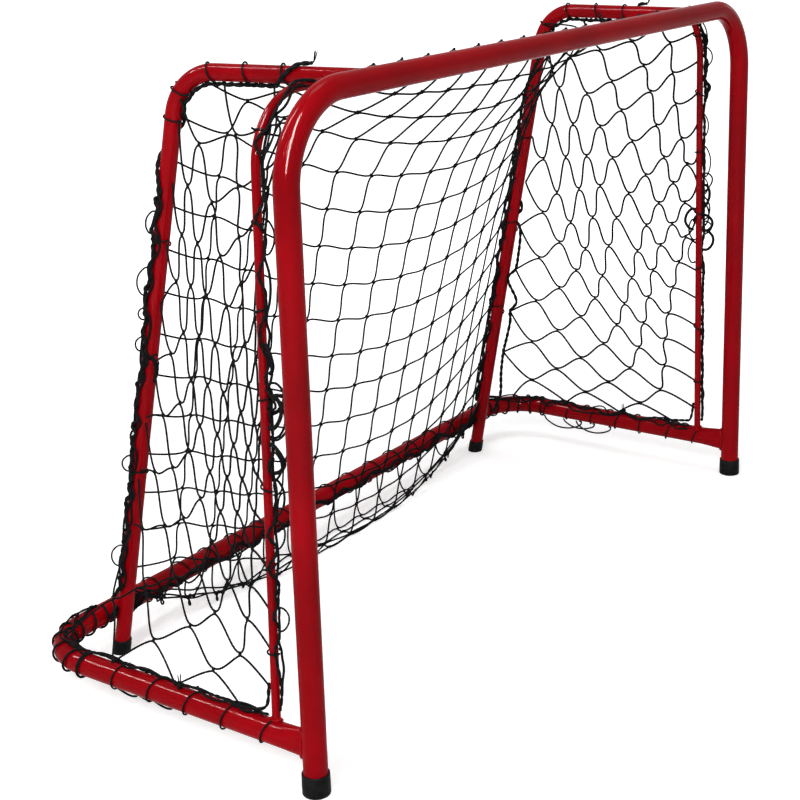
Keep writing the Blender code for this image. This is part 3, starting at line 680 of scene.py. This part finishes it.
class Net:
    """Knots named by two counts, (a, b), and linked to (a + 1, b) and to (a, b + 1).

    Held knots have a place of their own, and the others hang between them.
    """

    def __init__(self, names, held_places):
        self.names = sorted(names)
        self.index = {name: i for i, name in enumerate(self.names)}
        self.held = np.array([name in held_places for name in self.names])
        self.points = np.array([held_places.get(name, (0, 0, 0)) for name in self.names], float)
        self.links = [self._linked(1, 0), self._linked(0, 1)]
        self.points[~self.held] = self._balance(1.0, 0.0)

    def _linked(self, more_a, more_b):
        """Pairs of knots, of which the second one's counts are higher by so much."""
        found = []
        for (a, b), i in self.index.items():
            j = self.index.get((a + more_a, b + more_b))
            if j is not None and not (self.held[i] and self.held[j]):
                found.append((i, j))
        return np.array(found)

    def _balance(self, pulls, weight):
        """Where the free knots would rest if each link pulled by its length times its own pull."""
        free = ~self.held
        first, second = np.concatenate(self.links).T
        joined = np.zeros((len(free), len(free)))
        joined[first, second] = joined[second, first] = pulls
        stiff = np.diag(joined.sum(1)) - joined
        load = joined[np.ix_(free, self.held)] @ self.points[self.held] - Z * weight
        return np.linalg.solve(stiff[np.ix_(free, free)], load)

    def settle(self, pulls, rest, weight):
        """Brings the net into balance under its weight, its cords pulling like soft springs."""
        first, second = np.concatenate(self.links).T
        pulls = np.repeat(pulls, [len(links) for links in self.links])
        for _ in range(BALANCE_ROUNDS):
            length = np.linalg.norm(self.points[second] - self.points[first], axis=1)
            places = self._balance(pulls * np.maximum(1 - rest / length, 0.1), weight)
            self.points[~self.held] = (self.points[~self.held] + places) / 2

    def link_sets(self, lengths):
        """The links in sets in which no knot comes twice, each with its length."""
        sets = []
        for family, length in enumerate(lengths):
            links = self.links[family]
            odd = np.array([self.names[i][family] % 2 for i, _ in links])
            for part in (0, 1):
                sets.append((*links[odd == part].T, length))
        return sets

    def hang(self, lengths, keep_clear):
        """Lets the net fall. A link goes slack but never stretches."""
        weight = np.where(self.held, 0.0, 1.0)[:, None]
        fall = weight * vec(0, 0, -GRAVITY * STEP_TIME ** 2)
        sets = self.link_sets(lengths)
        speed = np.zeros_like(self.points)
        for _ in range(FALL_STEPS):
            moved = self.points + speed + fall
            for _ in range(FALL_PASSES):
                for first, second, length in sets:
                    gap = moved[second] - moved[first]
                    far = np.linalg.norm(gap, axis=1, keepdims=True)
                    share = weight[first] + weight[second]
                    pull = gap * (np.maximum(far - length, 0) / (far * share))
                    moved[first] += pull * weight[first]
                    moved[second] -= pull * weight[second]
                keep_clear(moved, self.held)
            speed = (moved - self.points) * FALL_DAMPING
            self.points = moved


def strand_curves(net, lengths, play, senses, bend, least):
    """The cords of a net as curves, and the knots' middles and axes.

    A knot is two bends of cord, which part by play to either side of its middle. The senses tell which
    of its four cords share a bend: (1, 1) where those to the knots before it do, and (-1, 1) where
    those to the knot after it in the first family and before it in the second do.
    """
    ways = []
    for links, sense in zip(net.links, senses):
        first, second = links.T
        way = unit(net.points[second] - net.points[first]) * sense
        through = np.zeros_like(net.points)
        through[first] -= way
        through[second] -= way
        ways.append(through)
    axis = unit(ways[0] + ways[1])
    inner = (~net.held)[:, None]
    part = axis * play * inner
    turn = square_to(axis, ways[0] - ways[1]) * inner
    curves = []
    for links, sense, sign, length in zip(net.links, senses, (-1, 1), lengths):
        first, second = links.T
        start = net.points[first] - part[first] * sense
        end = net.points[second] + part[second] * sense
        turned = turn * sense * sign
        curves.append(slack_curves(start, turned[first], end, turned[second], length, bend, least))
    return np.concatenate(curves), net.points[~net.held], axis[~net.held]


def slack_curves(start, leave, end, arrive, length, bend, least):
    """Curves between two points, which leave and arrive in given directions.

    The handles grow within the limits of bend until a curve has its length, which is at least a
    given number of times the way between its ends. Spare length hangs down.
    """
    shares = np.linspace(0, 1, STRAND_POINTS)[None, :, None]
    reach = np.linalg.norm(end - start, axis=1)[:, None]
    length = np.maximum(length, reach * least)
    sag = vec(0, 0, -0.25) * (length - reach)

    def shape(handle):
        first = start + leave * handle + sag
        second = end - arrive * handle + sag
        return sum(
            weight * (1 - shares) ** (3 - power) * shares ** power * point[:, None]
            for power, (point, weight) in enumerate(zip((start, first, second, end), (1, 3, 3, 1)))
        )

    low = np.full((len(start), 1), bend[0])
    high = np.full((len(start), 1), bend[1])
    for _ in range(12):
        middle = (low + high) / 2
        run = np.linalg.norm(np.diff(shape(middle), axis=1), axis=2).sum(1)[:, None]
        low = np.where(run < length, middle, low)
        high = np.where(run < length, high, middle)
    return shape(low)


def knot_curves(middles, axes):
    """A short winding of cord round each knot."""
    shares = np.linspace(0, 1, KNOT_TURNS * 8 + 1)
    turn = 2 * np.pi * KNOT_TURNS * shares
    helper = np.where(abs(axes[:, :1]) < 0.8, X, Y)
    first = square_to(axes, helper)
    second = np.cross(axes, first)
    length = axes[:, None] * ((1 - 2 * shares) * KNOT_HALF_LENGTH)[:, None]
    wind = first[:, None] * np.cos(turn)[:, None] + second[:, None] * np.sin(turn)[:, None]
    return middles[:, None] + length + wind * KNOT_RADIUS


def above_floor(curves):
    curves[..., 2] = np.maximum(curves[..., 2], CORD_RADIUS * 1.05)
    return curves


def make_net(name, net, lengths, senses, bend, least, radius, replaced):
    curves, middles, axes = strand_curves(net, lengths, KNOT_HALF_LENGTH * 0.8, senses, bend, least)
    cords = Sweep(CORD_SIDES)
    cords.add(above_floor(curves), radius)
    cords.add(above_floor(knot_curves(middles, axes)), KNOT_CORD_RADIUS, closed_ends=True)
    cords.piece(name, CORD, *replaced)


def inner_edge(hand):
    """Where the side edge of the main net runs: inside the side leg, from the top rod to the base."""
    path = bent_path([level_place(hand, ROD_Y), leg_corners(hand)[1], leg_place(hand, 0.060)], [LEG_BEND])
    return Route(path - X * hand * (LEG_RADIUS + TIE_OFF))


def main_net():
    """The roof and the back in one: pinned along the top rod, both side legs and the rear tube."""
    held = {}
    rows = np.arange(NET_ROWS + 1)
    for hand, column in ((-1, 0), (1, NET_COLUMNS)):
        edge = inner_edge(hand)
        gaps, gap = LEVEL_GAPS[hand], SLOPE_GAP[hand]
        run = np.where(rows < gaps, LEVEL_LENGTH * rows / gaps, LEVEL_LENGTH + gap * (rows - gaps))
        run = np.minimum(run, edge.length - 0.004 * (NET_ROWS - rows))
        for row, place in zip(rows, edge.at(run)):
            held[column, int(row)] = place
    for column, x in enumerate(np.linspace(*TOP_TIES_X, NET_COLUMNS + 1)):
        held[column, 0] = vec(x, ROD_Y, ROD_Z - ROD_RADIUS - CORD_RADIUS)
    for column, x in enumerate(np.linspace(-REAR_TIES_X, REAR_TIES_X, NET_COLUMNS + 1)):
        held[column, NET_ROWS] = vec(x, REAR_Y - TUBE_RADIUS - CORD_RADIUS * 1.5, BASE_Z)
    names = [(a, b) for a in range(NET_COLUMNS + 1) for b in range(NET_ROWS + 1)]

    lowest, rearmost = CORD_RADIUS * 1.6, REAR_Y - TUBE_RADIUS - CORD_RADIUS

    def keep_clear(points, fixed):
        """Keeps the net above the floor and in front of the rear tube."""
        points[~fixed & (points[:, 2] < lowest), 2] = lowest
        points[~fixed & (points[:, 1] > rearmost) & (points[:, 2] < 0.07), 1] = rearmost

    net = Net(names, held)
    net.hang((GAP_ACROSS, GAP_DOWN), keep_clear)
    return net


def side_leg_ties(hand):
    """Where a side panel is tied to its leg, from the top down.

    Low down its edge hangs off the leg, behind it on the left and before it on the right.
    """
    ties = []
    for z in np.linspace(*SIDE_LEG_Z, 8):
        off = hand * SIDE_HANG_OFF * min(max((SIDE_HANG_TOP - z) * 10, 0), 1)
        ties.append(leg_place(hand, z) + vec(hand * TIE_OUT, -LEG_RADIUS - TIE_OFF - off, 0))
    return ties


def side_rod_ties(hand):
    """Where a side panel is tied to its rod, from the top down."""
    low, high = rod_corners(hand)[:2]
    shares = (np.linspace(*SIDE_ROD_Z, 14) - BASE_Z) / (ROD_Z - BASE_Z)
    return low + (high - low) * shares[:, None] + vec(0, ROD_RADIUS * 0.6, 0)


def side_net(hand):
    """A side panel of diamond gaps, tied to the side rod, the level tube, the leg and the base tube.

    Its knots are named from the one that is tied highest on the rod but one, up and down its cords.
    """
    held = {}
    rod_names = [(4, b) for b in range(1, 6)] + [(3, 6), (2, 7)] + [(a, 8) for a in range(1, -6, -1)]
    held.update(zip(rod_names, side_rod_ties(hand)))
    leg_names = [(-1, -1), (-2, -1), (-3, -1)] + [(-4 - k, k) for k in range(5)]
    held.update(zip(leg_names, side_leg_ties(hand)))
    base = Route(base_path()[::hand])
    near = base.nearest(vec(hand * POST_X, SIDE_BASE_FRONT_Y, BASE_Z))
    far = base.nearest(vec(hand * SIDE_BASE_REAR_X, REAR_Y, BASE_Z))
    for k, name in enumerate([(-6, 8), (-7, 7), (-8, 6), (-9, 5)]):
        along = near + (far - near) * (0.058 + 0.235 * k)
        held[name] = base.at(along) + Z * (TUBE_RADIUS + CORD_RADIUS)
    for name, y in zip([(3, 0), (2, -1), (1, -1), (0, -1)], np.linspace(*SIDE_LEVEL_Y, 4)):
        held[name] = vec(hand * (top_tube_x(y) + TIE_OUT), y, BAR_Z - LEG_RADIUS - CORD_RADIUS)
    names = [
        (a, b) for a in range(-9, 5) for b in range(-1, 9)
        if -4 <= a + b <= 9 and -14 <= a - b <= 3
    ]
    net = Net(names, held)
    net.settle(SIDE_PULL, SIDE_REST, SIDE_WEIGHT[hand])
    return net


def make_nets():
    make_net("net_main", main_net(), (GAP_ACROSS, GAP_DOWN), (1, 1), TAUT_BEND, MAIN_SPARE, CORD_RADIUS,
             ("net_roof", "net_back", "net_fold"))
    for hand, side in SIDES:
        make_net("net_side_" + side, side_net(hand), (SIDE_GAP, SIDE_GAP), (-1, 1), SLACK_BEND,
                 SIDE_SPARE[hand], SIDE_CORD_RADIUS[hand], ("net_" + side,))


def smooth_path(points, steps):
    """A smooth curve through the points."""
    padded = np.concatenate([[2 * points[0] - points[1]], points, [2 * points[-1] - points[-2]]])
    curve = []
    for p0, p1, p2, p3 in zip(padded, padded[1:], padded[2:], padded[3:]):
        for t in np.arange(steps) / steps:
            curve.append(0.5 * (2 * p1 + (p2 - p0) * t + (2 * p0 - 5 * p1 + 4 * p2 - p3) * t * t
                                + (3 * p1 - p0 - 3 * p2 + p3) * t ** 3))
    curve.append(points[-1])
    return np.array(curve)


def even(start, end, gap):
    """Places about a gap apart from start to end."""
    return np.linspace(start, end, max(int(round(abs(end - start) / gap)), 1) + 1)


def twist(cords, path, radius):
    """A rope of two strands laid round each other along a path."""
    route = Route(path)
    lengths = np.linspace(0, route.length, max(int(route.length / ROPE_TWIST * 12), 12))
    along = route.along(np.clip(lengths, 2e-4, route.length - 2e-4))
    first = square_to(along, np.broadcast_to(vec(0.3, 0.5, 0.8), along.shape))
    second = np.cross(along, first)
    for start in (0, np.pi):
        turn = (lengths / ROPE_TWIST * 2 * np.pi + start)[:, None]
        offset = (first * np.cos(turn) + second * np.sin(turn)) * radius * 0.4
        cords.add(route.at(lengths) + offset, radius * 0.72, closed_ends=True)


def rope_marks(ties, swing, play, seed, turned=0.0):
    """Marks of a rope along a tube, close to it at the ties and loose between them.

    It swings to either side of where it faces, or of a place turned away from there.
    """
    chance = np.random.default_rng(seed)
    marks = []
    for tie, onward in zip(ties, ties[1:]):
        marks.append((tie, turned + chance.uniform(-swing, swing), 0))
        for share in (0.33, 0.67):
            away = turned + chance.uniform(-swing, swing)
            marks.append((tie + (onward - tie) * share, away, chance.uniform(0, play)))
    return marks + [(ties[-1], turned, 0)]


def tangle(cords, centre, size, bends, seed, radius):
    """A loose end of cord, snarled into loops about a place."""
    chance = np.random.default_rng(seed)
    turn = np.cumsum(chance.uniform(1.0, 3.4, bends))
    reach = chance.uniform(0.3, 1, bends)
    points = np.stack([np.cos(turn), np.cos(turn + 1), np.sin(turn)], -1) * reach[:, None]
    drift = np.linspace(-1, 1, bends)[:, None] * vec(0, 0, 0.6)
    cords.add(smooth_path(centre + (points + drift) * size, 8), radius, closed_ends=True)


def frayed_end(cords, place, way, seed):
    """The cut end of a rope, with a few fibres that stand out."""
    chance = np.random.default_rng(seed)
    for _ in range(3):
        aim = unit(way + chance.uniform(-0.2, 0.2, 3))
        points = [place, place + aim * FRAY_LENGTH / 2, place + (aim + Z * 0.25) * FRAY_LENGTH]
        cords.add(smooth_path(np.array(points), 4), FIBRE_RADIUS, closed_ends=True)


def loose_path(places, play, seed):
    """A path through places that strays between them."""
    chance = np.random.default_rng(seed)
    points = [places[0]]
    for here, there in zip(places, places[1:]):
        for share in (0.3, 0.7):
            points.append(here + (there - here) * share + chance.uniform(-1, 1, 3) * play)
        points.append(there)
    return smooth_path(np.array(points), 6)


class Lacing:
    """The cords on one tube.

    A cord goes through marks of length along the tube, turn round it from the way that the cord
    faces, and distance off it.
    """

    def __init__(self, tube, tube_radius):
        self.tube = tube
        self.tube_radius = tube_radius
        self.cords = Sweep(CORD_SIDES)

    def path(self, facing, marks, radius):
        lengths, turn, off = smooth_path(np.array(marks, float), 5).T
        along = self.tube.along(lengths)
        out = square_to(along, np.broadcast_to(unit(facing), along.shape))
        side = np.cross(along, out)
        stand = (self.tube_radius + radius + np.maximum(off, 0))[:, None]
        return self.tube.at(lengths) + (out * np.cos(turn)[:, None] + side * np.sin(turn)[:, None]) * stand

    def lay(self, facing, marks, radius):
        self.cords.add(self.path(facing, marks, radius), radius, closed_ends=True)

    def rope(self, facing, marks, radius):
        """Lays a rope of two strands, and gives its path."""
        path = self.path(facing, marks, radius)
        twist(self.cords, path, radius)
        return path

    def wind(self, facing, ties, spread, seed, radius=LACE_RADIUS, turns=1):
        """Winds cord round the tube at each tie, which is a length along it."""
        chance = np.random.default_rng(seed)
        shares = np.linspace(0, 1, turns * 8 + 1)
        for tie in ties:
            tilt = chance.uniform(*spread)
            start = chance.uniform(-0.15, 0.15)
            off = abs(np.sin(shares * np.pi)) * chance.uniform(0, 0.0008)
            marks = np.stack([tie + tilt * (shares - 0.5), start + 2 * np.pi * turns * shares, off], -1)
            self.lay(facing, marks, radius)

    def bow(self, facing, start, length, off, radius=LACE_RADIUS, turned=0.3):
        """A slack stretch of cord that bows away from the tube."""
        marks = [(start + length * share, turned - 0.5 * share, off * out) for share, out in BOW_SHAPE]
        self.lay(facing, marks, radius)

    def snarl(self, facing, middle, spread, count, seed):
        """Loops of spare cord crowded together on one side of the tube, every third of them thick."""
        chance = np.random.default_rng(seed)
        for k in range(count):
            start = middle + chance.uniform(-spread, spread)
            length = chance.uniform(0.016, 0.034) * chance.choice((-1, 1))
            off, turned = chance.uniform(0.005, 0.016), chance.uniform(-0.7, 1.0)
            self.bow(facing, start, length, off, SPARE_RADIUS if k % 3 else THICK_RADIUS, turned)
        place = self.tube.at(middle) + unit(facing) * self.tube_radius
        tangle(self.cords, place, (0.004, 0.004, 0.005), 12, seed, SLACK_RADIUS)

    def finish(self, place):
        self.cords.piece("cord_" + place, CORD, "lacing_" + place)


def lace_leg(hand, side, ties):
    """The rope hangs under the level tube, crosses over the bend and keeps behind the leg.

    Its other end goes over the level tube and ends frayed. The side panel's edge has its own rope.
    """
    leg = Route(bent_path(leg_corners(hand), [LEG_BEND]))
    lacing = Lacing(leg, LEG_RADIUS)
    front, crossing = (leg.nearest(level_place(hand, y)) for y in (0.064, 0.105))
    corner, low = (leg.nearest(leg_place(hand, z)) for z in (0.565, 0.075))
    below = vec(0, 0.1, -1)
    behind = 1.8 - 2 * math.pi if hand < 0 else 2.1
    over = [(front, -hand * 3.1, 0.001), (front + 0.010, -hand * 3.0, 0.0005),
            (crossing - 0.026, -hand * 2.5, 0.0008), (crossing - 0.012, -hand * 1.2, 0)]
    under = rope_marks(even(crossing, corner, 0.014), 0.3, 0.0012, 3 + hand)
    bend = [(corner + 0.018 * k, behind * (0.1 + 0.25 * k), 0) for k in range(1, 4)]
    down = rope_marks(even(corner + 0.075, low, 0.022), 0.35, 0.0022, 13 + hand, behind)
    rope = lacing.rope(below, over + under + bend + down, ROPE_RADIUS)
    frayed_end(lacing.cords, rope[0], vec(0, -0.4, 1), 51 + hand)
    for seed in (33, 34):
        loose = rope_marks(even(corner + 0.07, low, 0.05), 0.6, 0.0030, seed + hand * 3, behind)
        lacing.lay(below, loose, SLACK_RADIUS)
    lacing.wind(below, even(crossing - 0.01, corner - 0.02, 0.036), (0.008, 0.020), 43 + hand)
    rings = [leg.nearest(tie) for tie in ties[::2]]
    lacing.wind(below, rings, (-0.020, 0.020), 23 + hand, FINE_RADIUS)
    if hand < 0:
        for z, length, off in LEG_BOWS:
            lacing.bow(vec(-0.58, 0.81, 0), leg.nearest(leg_place(hand, z)), length, off)
    aside = Y * -hand
    edge = [leg_place(hand, 0.36) + aside * LEG_RADIUS, *ties[4:], leg_place(hand, 0.06) + aside * 0.018]
    twist(lacing.cords, loose_path(edge, 0.006, 5 + hand), ROPE_RADIUS)
    for inward, size in ((0.016, 0.009), (-0.014, 0.007)):
        foot = leg_place(hand, BASE_Z) + vec(-hand * inward, 0.002, 0.004)
        tangle(lacing.cords, foot, size, 22, 81 + hand, LUMP_RADIUS)
    lacing.finish("leg_" + side)


def lace_rod(hand, side, ties):
    """Round a side rod the rope strays from side to side, with bows and snarls of spare cord."""
    rod = Route(rod_path(hand))
    lacing = Lacing(rod, ROD_RADIUS)
    front = vec(0.58, -0.81, 0)
    swing, turned = (0.7, 0) if hand > 0 else (1.1, -0.8)
    marks = rope_marks(even(rod.length - 0.03, 0.02, 0.044), swing, 0.0016, 7 + hand, turned)
    lacing.rope(front, marks, ROD_ROPE_RADIUS[hand])
    if hand > 0:
        high, low = (rod.nearest(vec(hand * ROD_TOP_X, ROD_Y, z)) for z in (0.575, 0.485))
        lacing.rope(front, rope_marks(even(high, low, 0.030), 0.5, 0.006, 29), HEAVY_ROPE_RADIUS)
    loose = rope_marks(even(rod.length - 0.04, 0.03, 0.055), 1.0, 0.0035, 27 + hand)
    lacing.lay(front, loose, SLACK_RADIUS)
    lacing.wind(front, [rod.nearest(tie) for tie in ties[::2]], (-0.014, 0.014), 17 + hand)
    for z, length, off in ROD_BOWS[hand]:
        lacing.bow(front, rod.nearest(vec(hand * ROD_FOOT_X, ROD_Y, z)), -length, off)
    middle = rod.nearest(vec(hand * ROD_FOOT_X, ROD_Y, SNARL_HEIGHT))
    lacing.snarl(front, middle, 0.03, 7, 61 + hand)
    if hand > 0:
        lacing.snarl(-front, middle - 0.006, 0.03, 3, 71)
    else:
        lacing.snarl(front, middle - 0.05, 0.02, 3, 71)
    for off in (0.006, 0.003):
        lacing.bow(front, rod.nearest(ties[0]) + off * 3, -0.03 - off, off)
    lacing.finish("rod_" + side)


def lace_base(hand, side):
    """A rope and two slack cords run along a base tube, held by turns of cord.

    Behind the post a short rope rises from the tube along the net rod.
    """
    base = Route(base_path()[::hand])
    lacing = Lacing(base, TUBE_RADIUS)
    near, corner = (base.nearest(vec(hand * POST_X, y, BASE_Z)) for y in (0.055, 0.28))
    far = base.nearest(vec(hand * 0.36, REAR_Y, BASE_Z))
    above = vec(-hand * 0.5, 0, 1)
    for seed in (11, 12):
        loose = rope_marks(even(near, far, 0.062), 0.7, 0.004, seed + hand * 3)
        lacing.lay(above, loose, THIN_RADIUS)
    lacing.rope(above, rope_marks(even(near, far, 0.040), 0.45, 0.0015, 19 + hand), BASE_ROPE_RADIUS)
    lacing.wind(above, even(near, corner, 0.044 if hand < 0 else 0.036), (-0.030, -0.012), 31 + hand)
    lacing.wind(above, even(corner, far, 0.021), (-0.022, -0.004), 41 + hand, SLACK_RADIUS)
    for start, length, off in BASE_BOWS:
        lacing.bow(vec(-hand * 0.4, 0, -1), corner + start, length, off, SPARE_RADIUS)
    rod_foot = rod_corners(hand)[0]
    rise = [base.at(near - 0.040) + Z * 0.0125, base.at(near - 0.010) + Z * 0.0165,
            rod_foot + vec(0, 0.010, 0.022), rod_foot + vec(0, 0.006, 0.045)]
    twist(lacing.cords, smooth_path(np.array(rise), 6), RISE_ROPE_RADIUS)
    knot = vec(hand * POST_X, 0.155, BASE_Z + TUBE_RADIUS + 0.002)
    tangle(lacing.cords, knot, (0.005, 0.005, 0.003), 12, 63, LUMP_RADIUS)
    frayed_end(lacing.cords, knot, Z, 64)
    lacing.finish("base_" + side)


def lace_top():
    """A rope behind the top rod, with two turns of cord and a knot at each tie."""
    top = Route([rod_corners(hand)[2] for hand, _ in SIDES])
    lacing = Lacing(top, ROD_RADIUS)
    ties = even(0.014, top.length - 0.014, 0.0435)
    lacing.rope(vec(0, 1, -0.4), rope_marks(ties, 0.5, 0.001, 21), TOP_ROPE_RADIUS)
    lacing.wind(vec(0, 0.5, -1), ties, (0.002, 0.005), 22, LUMP_RADIUS, turns=2)
    for seed, tie in enumerate(top.at(ties)):
        knot = tie + Z * (ROD_RADIUS + 0.0022)
        tangle(lacing.cords, knot, (0.0024, 0.0018, 0.0015), 7, seed, SPARE_RADIUS)
    lacing.finish("rod_top")


def lace_rear():
    """A slack cord and a rope run in front of the rear tube, held by turns of cord."""
    rear = Route([vec(-REAR_TIES_X, REAR_Y, BASE_Z), vec(REAR_TIES_X, REAR_Y, BASE_Z)])
    lacing = Lacing(rear, TUBE_RADIUS)
    inside = vec(0, -1, -0.1)
    lacing.lay(inside, rope_marks(even(0, rear.length, 0.07), 0.7, 0.004, 25), SPARE_RADIUS)
    lacing.rope(inside, rope_marks(even(0, rear.length, 0.045), 0.5, 0.002, 23), ROPE_RADIUS)
    lacing.wind(inside, even(0, rear.length, 0.043), (0.007, 0.021), 24)
    lacing.finish("base_rear")


def make_lacing():
    for hand, side in SIDES:
        lace_leg(hand, side, side_leg_ties(hand))
        lace_rod(hand, side, side_rod_ties(hand))
        lace_base(hand, side)
    lace_top()
    lace_rear()


def make_camera():
    """The photograph's camera. Its frame's middle lies below the lens axis."""
    data = bpy.data.cameras.new("camera")
    data.sensor_width = SENSOR_WIDTH
    data.lens = FOCAL_PIXELS / IMAGE_SIZE * SENSOR_WIDTH
    data.shift_y = (VIEW_CENTRE_DOWN - IMAGE_SIZE / 2) / IMAGE_SIZE
    camera = link("camera", data)
    camera.matrix_world = (
        Matrix.Translation(Vector(CAMERA_PLACE) + Vector((0, HOOP_Y, 0)))
        @ Matrix.Rotation(-CAMERA_HEADING, 4, "Z")
        @ Matrix.Rotation(math.pi / 2 - CAMERA_TILT, 4, "X")
        @ Matrix.Rotation(CAMERA_ROLL, 4, "Z")
    )
    bpy.context.scene.camera = camera


def seen_plainly(nodes):
    """A share that is 1 for what the camera, gloss and clear materials see, and 0 for light."""
    path = nodes.add("ShaderNodeLightPath")
    share = path.outputs["Is Camera Ray"]
    for name in ("Is Glossy Ray", "Is Transmission Ray"):
        share = nodes.math("MAXIMUM", share, path.outputs[name])
    return share


def make_floor():
    """A pale floor that keeps the goal's shadow and fades to plain white away from it."""
    mesh = bpy.data.meshes.new("floor")
    corners = [(x * FLOOR_SIZE, y * FLOOR_SIZE, 0) for x, y in ((-1, -1), (1, -1), (1, 1), (-1, 1))]
    mesh.from_pydata(corners, [], [(0, 1, 2, 3)])
    floor = link("floor", mesh)
    shader = Shader("floor")
    distance = shader.tree.nodes.new("ShaderNodeVectorMath")
    distance.operation = "LENGTH"
    shader.put(distance.inputs[0], shader.places["Object"])
    glow = shader.ramp(distance.outputs["Value"], *FLOOR_FADE, FLOOR_GLOW, 1.0)
    mesh.materials.append(shader.shade(
        Base_Color=FLOOR_GREY,
        Roughness=0.9,
        Specular_IOR_Level=0.1,
        Emission_Color=(1, 1, 1, 1),
        Emission_Strength=shader.math("MULTIPLY", glow, seen_plainly(shader)),
    ))


def make_world():
    """An even white surround. Only what is seen of it directly is full white."""
    world = bpy.data.worlds.new("world")
    world.use_nodes = True
    bpy.context.scene.world = world
    nodes = Nodes(world.node_tree)
    strength = nodes.ramp(seen_plainly(nodes), 0, 1, WORLD_LIGHT, 1)
    nodes.fill(world.node_tree.nodes["Background"], Color=(1, 1, 1, 1), Strength=strength)


def add_lamp(name, place, target, size, watts):
    data = bpy.data.lights.new(name, "AREA")
    data.shape = "RECTANGLE"
    data.size, data.size_y = size
    data.energy = watts
    lamp = link(name, data)
    way = Vector(target) - Vector(place)
    lamp.matrix_world = Matrix.Translation(place) @ way.to_track_quat("-Z", "Y").to_matrix().to_4x4()
    return lamp


def make_lamps():
    """Soft lamps, and two strips that only show as streaks in the gloss of the tubes."""
    middle = (0, 0, 0.4)
    for name, heading, width, watts in FRONT_LAMPS:
        away = (math.cos(heading) * -FRONT_LAMP_AWAY, math.sin(heading) * -FRONT_LAMP_AWAY)
        add_lamp("lamp_" + name, (*away, FRONT_LAMP_HEIGHT), middle, (width, 0.65), watts)
    for name, place, size, watts in (
        ("arch", (-1.7, -1.0, 1.9), (0.42, 2.4), 720),
        ("rear", (-0.9, 1.6, 2.2), (0.15, 1.4), 100),
    ):
        strip = add_lamp("strip_" + name, place, middle, size, watts)
        strip.visible_diffuse = False
    add_lamp("lamp_top", (0.3, 0.3, 2.8), (0, 0, 0.2), (0.8, 0.8), 15)
    add_lamp("lamp_side", (2.6, -0.4, 0.8), (0, 0, 0.3), (0.6, 0.9), 3)


make_hoop()
make_base_loop()
make_rods()
make_legs()
make_feet()
make_welds()
make_nets()
make_lacing()
make_camera()
make_floor()
make_world()
make_lamps()

bpy.context.scene.view_settings.view_transform = "Standard"
